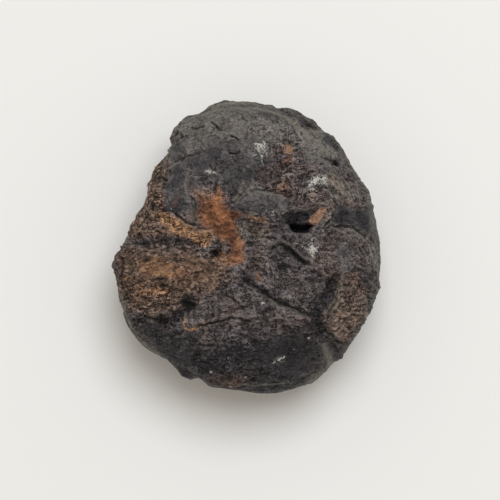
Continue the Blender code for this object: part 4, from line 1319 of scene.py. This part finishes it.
class Stone(Shading):
    """Weathered pyrite, from noise and from the layers stored on the mesh."""

    def __init__(self, material):
        super().__init__(material)
        self.smooth = self.layer("plate")
        self.raised = self.layer("raised")
        self.grain = self.speckle(GRAIN)
        self.fine = self.speckle(FINE_GRAIN, 1.0, offset=3.1)
        self.cloud = self.speckle(CLOUDS, 4.0, offset=1.7)
        self.worms = self.speckle(GRAIN, 1.0, stretch=(0.6, 1.2, 1.0), offset=9.3)
        self.broken = self.between(self.speckle(BREAKS, 2.0, offset=31.0), 0.4, 0.6)
        banded = self.layer("banded")
        rings = self.turned((0.0, 0.0), *RINGS)
        self.fibre = self.mix_number(banded, self.turned(UMBILICUS, *RAYS, seam=-1.0), rings)
        coarse = self.math("MULTIPLY", self.grain, 1.0 - FINE_SHARE)
        grit = self.math("MULTIPLY_ADD", self.fine, FINE_SHARE, coarse)
        self.grit = self.mix_number(self.math("MULTIPLY", banded, RING_SHARE), grit, rings)
        self.hairs = self.hairline_tint()

    def hairline_tint(self):
        """How much level and steep hairline cracks lighten the stone."""
        level = self.hairlines(self.streaks(*LEVEL_HAIRS, offset=0.05), self.broken)
        whole = self.math("SUBTRACT", 1.0, self.broken)
        steep = self.hairlines(self.streaks(*STEEP_HAIRS, offset=0.09), whole)
        shown = self.mix_number(self.smooth, 1.0, HAIRS_ON_PLATE)
        return self.math("MULTIPLY", self.math("ADD", level, steep), shown)

    def ground(self):
        """Bare stone and plates, with dust and painted light, dark stone and painted shade, and the rim on
        them.
        """
        spots = self.between(self.speckle(SPOTS, 2.0, offset=21.0), *BROWN_SPOTS)
        stone = self.mix(spots, self.two_tone("stone", self.cloud), linear(STONE_BROWN))
        colour = self.mix(self.torn("plate", self.cloud), stone, self.two_tone("plate", self.cloud))
        # Painted light above, painted shade below and in hollows, then the rim
        for name, over in (("dust_and_light", DUST_AND_LIGHT), ("dark_and_shade", DARK_AND_SHADE), ("rim", RIM)):
            colour = self.mix(self.torn(name, self.cloud), colour, linear(over))
        return colour

    def crusts(self, colour):
        """Crust, rust and golden fibres over a colour, and how strong each of them is."""
        pale = self.between(self.worms, *PALE_WORMS)
        dark = self.between(self.fibre, *DARK_FIBRES)
        crust = self.mix(pale, self.two_tone("crust", self.fibre), linear(CRUST_PALE))
        rust = self.mix(dark, self.two_tone("rust", self.cloud), linear(RUST_DARK))
        crusted = self.torn("crust", self.grit)
        rusted = self.torn("rust", self.cloud)
        tanned = self.torn("tan", self.fibre)
        colour = self.mix(rusted, self.mix(crusted, colour, crust), rust)
        return self.mix(tanned, colour, self.two_tone("tan", self.fibre)), crusted, rusted, tanned

    def calmer(self, strength):
        """A strength that is less on the smooth plates."""
        return self.mix_number(self.smooth, strength, PLATE_CALM * strength)

    def tint(self, contrast):
        """How much grit and hairline cracks lighten or darken the stone, with painted shade and light from
        the relief.
        """
        flecks = self.math("SUBTRACT", self.between(self.grit, *FLECKS), 0.5)
        flecks = self.math("MULTIPLY", flecks, self.calmer(SPECKLE))
        # Painted shade where the relief is sunk and painted light where it stands out
        bulging = self.math("MULTIPLY", self.layer("bulging"), 1.0 - RAISED_SHARE)
        stands_out = self.math("MULTIPLY_ADD", self.raised, RAISED_SHARE, bulging)
        relief_shade = self.math("MULTIPLY", self.math("SUBTRACT", stands_out, 0.5), self.calmer(PAINTED_RELIEF_SHADE))
        change = self.math("ADD", self.math("ADD", flecks, self.hairs), relief_shade)
        tint = self.math("MULTIPLY_ADD", change, contrast, 1.0)
        return self.math("MULTIPLY", self.math("MAXIMUM", tint, DARKEST), OVERALL)

    def lace(self):
        """Where threads of pale lace lie: on thin lines and grains, and all over where it is thick."""
        web = self.math("ABSOLUTE", self.math("SUBTRACT", self.speckle(WEB, 2.0, offset=13.0), 0.5))
        chalk = self.layer("chalk")
        grains = self.between(self.fine, 0.5, 0.62)
        threads = self.math("MULTIPLY_ADD", self.between(web, 0.07, 0.02), 0.75, grains)
        threads = self.math("MULTIPLY_ADD", self.between(chalk, 0.7, 1.0), 0.7, threads)
        return self.math("MULTIPLY", self.between(chalk, 0.1, 0.8), self.math("MINIMUM", threads, 1.0))

    def marked(self, colour):
        """Painted shade and highlights, black, worn brinks, pale lines, rusty wall of the opening and lace,
        over a colour.
        """
        # Painted shade along cracks and at the feet of ledges
        colour = self.mix(self.torn("crack_and_ledge_shade", self.grain), colour, linear(SHADE_BLACK))
        # Black, and painted shade in holes, pits and under the shelf
        colour = self.mix(self.torn("black_and_shade", self.grain), colour, linear(SHADE_BLACK))
        # Painted highlights on the highest grains, except in the black
        grains = self.between(self.grain, 0.4, 0.6)
        lit_tops = self.math("MULTIPLY", self.between(self.raised, 0.75, 1.0), grains)
        lit_tops = self.math("MULTIPLY", lit_tops, self.math("SUBTRACT", 1.0, self.layer("black_and_shade")))
        colour = self.mix(self.math("MULTIPLY", lit_tops, TOP_HIGHLIGHT), colour, linear(PALE_AND_LIT))
        # Brinks: wear and painted light
        brinks = self.math("MULTIPLY", self.torn("worn_and_lit", self.grain), self.mix_number(self.broken, *BRINKS))
        colour = self.mix(brinks, colour, linear(PALE_AND_LIT))
        # Pale lines and painted light along lit crests and edges
        colour = self.mix(self.torn("pale_and_lit", self.grain), colour, linear(PALE_AND_LIT))
        colour = self.mix(self.torn("peach", self.grit), colour, self.two_tone("peach", self.grit))
        return self.mix(self.lace(), colour, linear(CHALK))


def stone_material():
    material = bpy.data.materials.new("weathered_pyrite")
    stone = Stone(material)
    colour, crusted, rusted, tanned = stone.crusts(stone.ground())
    dull = stone.math("MAXIMUM", crusted, tanned)
    plain = stone.mix_number(dull, 1.0, DULL_CONTRAST)
    contrast = stone.math("MULTIPLY_ADD", stone.layer("grainy"), GRAINY_MORE, plain)
    contrast = stone.math("SUBTRACT", contrast, stone.math("MULTIPLY", rusted, RUST_LESS))
    contrast = stone.math("SUBTRACT", contrast, stone.math("MULTIPLY", tanned, TAN_LESS))
    colour = stone.marked(stone.scaled(colour, stone.tint(contrast)))
    satin = stone.mix_number(stone.between(stone.cloud, 0.3, 0.7), *SATIN)
    lumps = stone.math("MULTIPLY_ADD", stone.worms, 0.8, stone.math("ADD", stone.grit, stone.hairs))
    bump = stone.node(
        "ShaderNodeBump",
        {"Strength": stone.mix_number(dull, *BUMPS), "Distance": BUMP_DEPTH, "Height": lumps},
    )
    surface = stone.surface.inputs
    stone.feed(surface["Base Color"], colour)
    stone.feed(surface["Roughness"], stone.mix_number(stone.math("MAXIMUM", dull, rusted), satin, MATT))
    stone.feed(surface["Specular IOR Level"], SPECULAR)
    stone.feed(surface["Normal"], bump.outputs["Normal"])
    return material


def make_fossil():
    mesh, level = fossil_mesh()
    fossil = bpy.data.objects.new("ammonite_surface", mesh)
    bpy.context.scene.collection.objects.link(fossil)
    fossil.data = thinned(fossil, level)
    fossil.data.name = "ammonite_surface"
    paint(fossil.data)
    fossil.data.shade_smooth()
    fossil.data.materials.append(stone_material())
    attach(fossil, "root")
    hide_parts("ammonite")


def make_floor():
    corners = [(-1, -1), (1, -1), (1, 1), (-1, 1)]
    level = min(NODE_LOW.z, 0.0)
    mesh = bpy.data.meshes.new("floor")
    mesh.from_pydata([(x * FLOOR_HALF, y * FLOOR_HALF, level) for x, y in corners], [], [(0, 1, 2, 3)])
    floor = bpy.data.objects.new("floor", mesh)
    bpy.context.scene.collection.objects.link(floor)
    material = bpy.data.materials.new("pale_floor")
    shade = Shading(material)
    shade.feed(shade.surface.inputs["Base Color"], linear(FLOOR))
    shade.feed(shade.surface.inputs["Roughness"], 0.8)
    mesh.materials.append(material)


def make_light():
    world = bpy.data.worlds.new("pale studio")
    world.use_nodes = True
    sky = world.node_tree.nodes["Background"]
    sky.inputs["Color"].default_value = linear(SKY)
    sky.inputs["Strength"].default_value = SKY_STRENGTH
    bpy.context.scene.world = world
    lamp = bpy.data.lights.new("soft lamp", "AREA")
    lamp.shape = "DISK"
    lamp.size = LAMP_SIZE
    lamp.energy = LAMP_POWER
    lamp.color = LAMP_COLOUR
    holder = bpy.data.objects.new("soft lamp", lamp)
    holder.location = LAMP_PLACE
    holder.rotation_euler = (-Vector(LAMP_PLACE)).to_track_quat("-Z", "Y").to_euler()
    bpy.context.scene.collection.objects.link(holder)
    bpy.context.scene.view_settings.view_transform = "Standard"


def make_camera():
    camera = bpy.data.cameras.new("camera")
    camera.lens = LENS
    camera.sensor_width = SENSOR
    holder = bpy.data.objects.new("camera", camera)
    across, along = FRAME_MIDDLE
    middle = Vector((across, along * math.cos(SIGHT_TIP), GIRTH_HEIGHT + along * math.sin(SIGHT_TIP)))
    away = Vector((0.0, -math.sin(SIGHT_TIP), math.cos(SIGHT_TIP))) * FRAME_WIDTH * LENS / SENSOR
    holder.location = (middle + away) / 1000.0
    holder.rotation_euler = (SIGHT_TIP, 0.0, 0.0)
    bpy.context.scene.collection.objects.link(holder)
    bpy.context.scene.camera = holder


noise.seed_set(SEED)
make_camera()
make_light()
make_floor()
make_fossil()
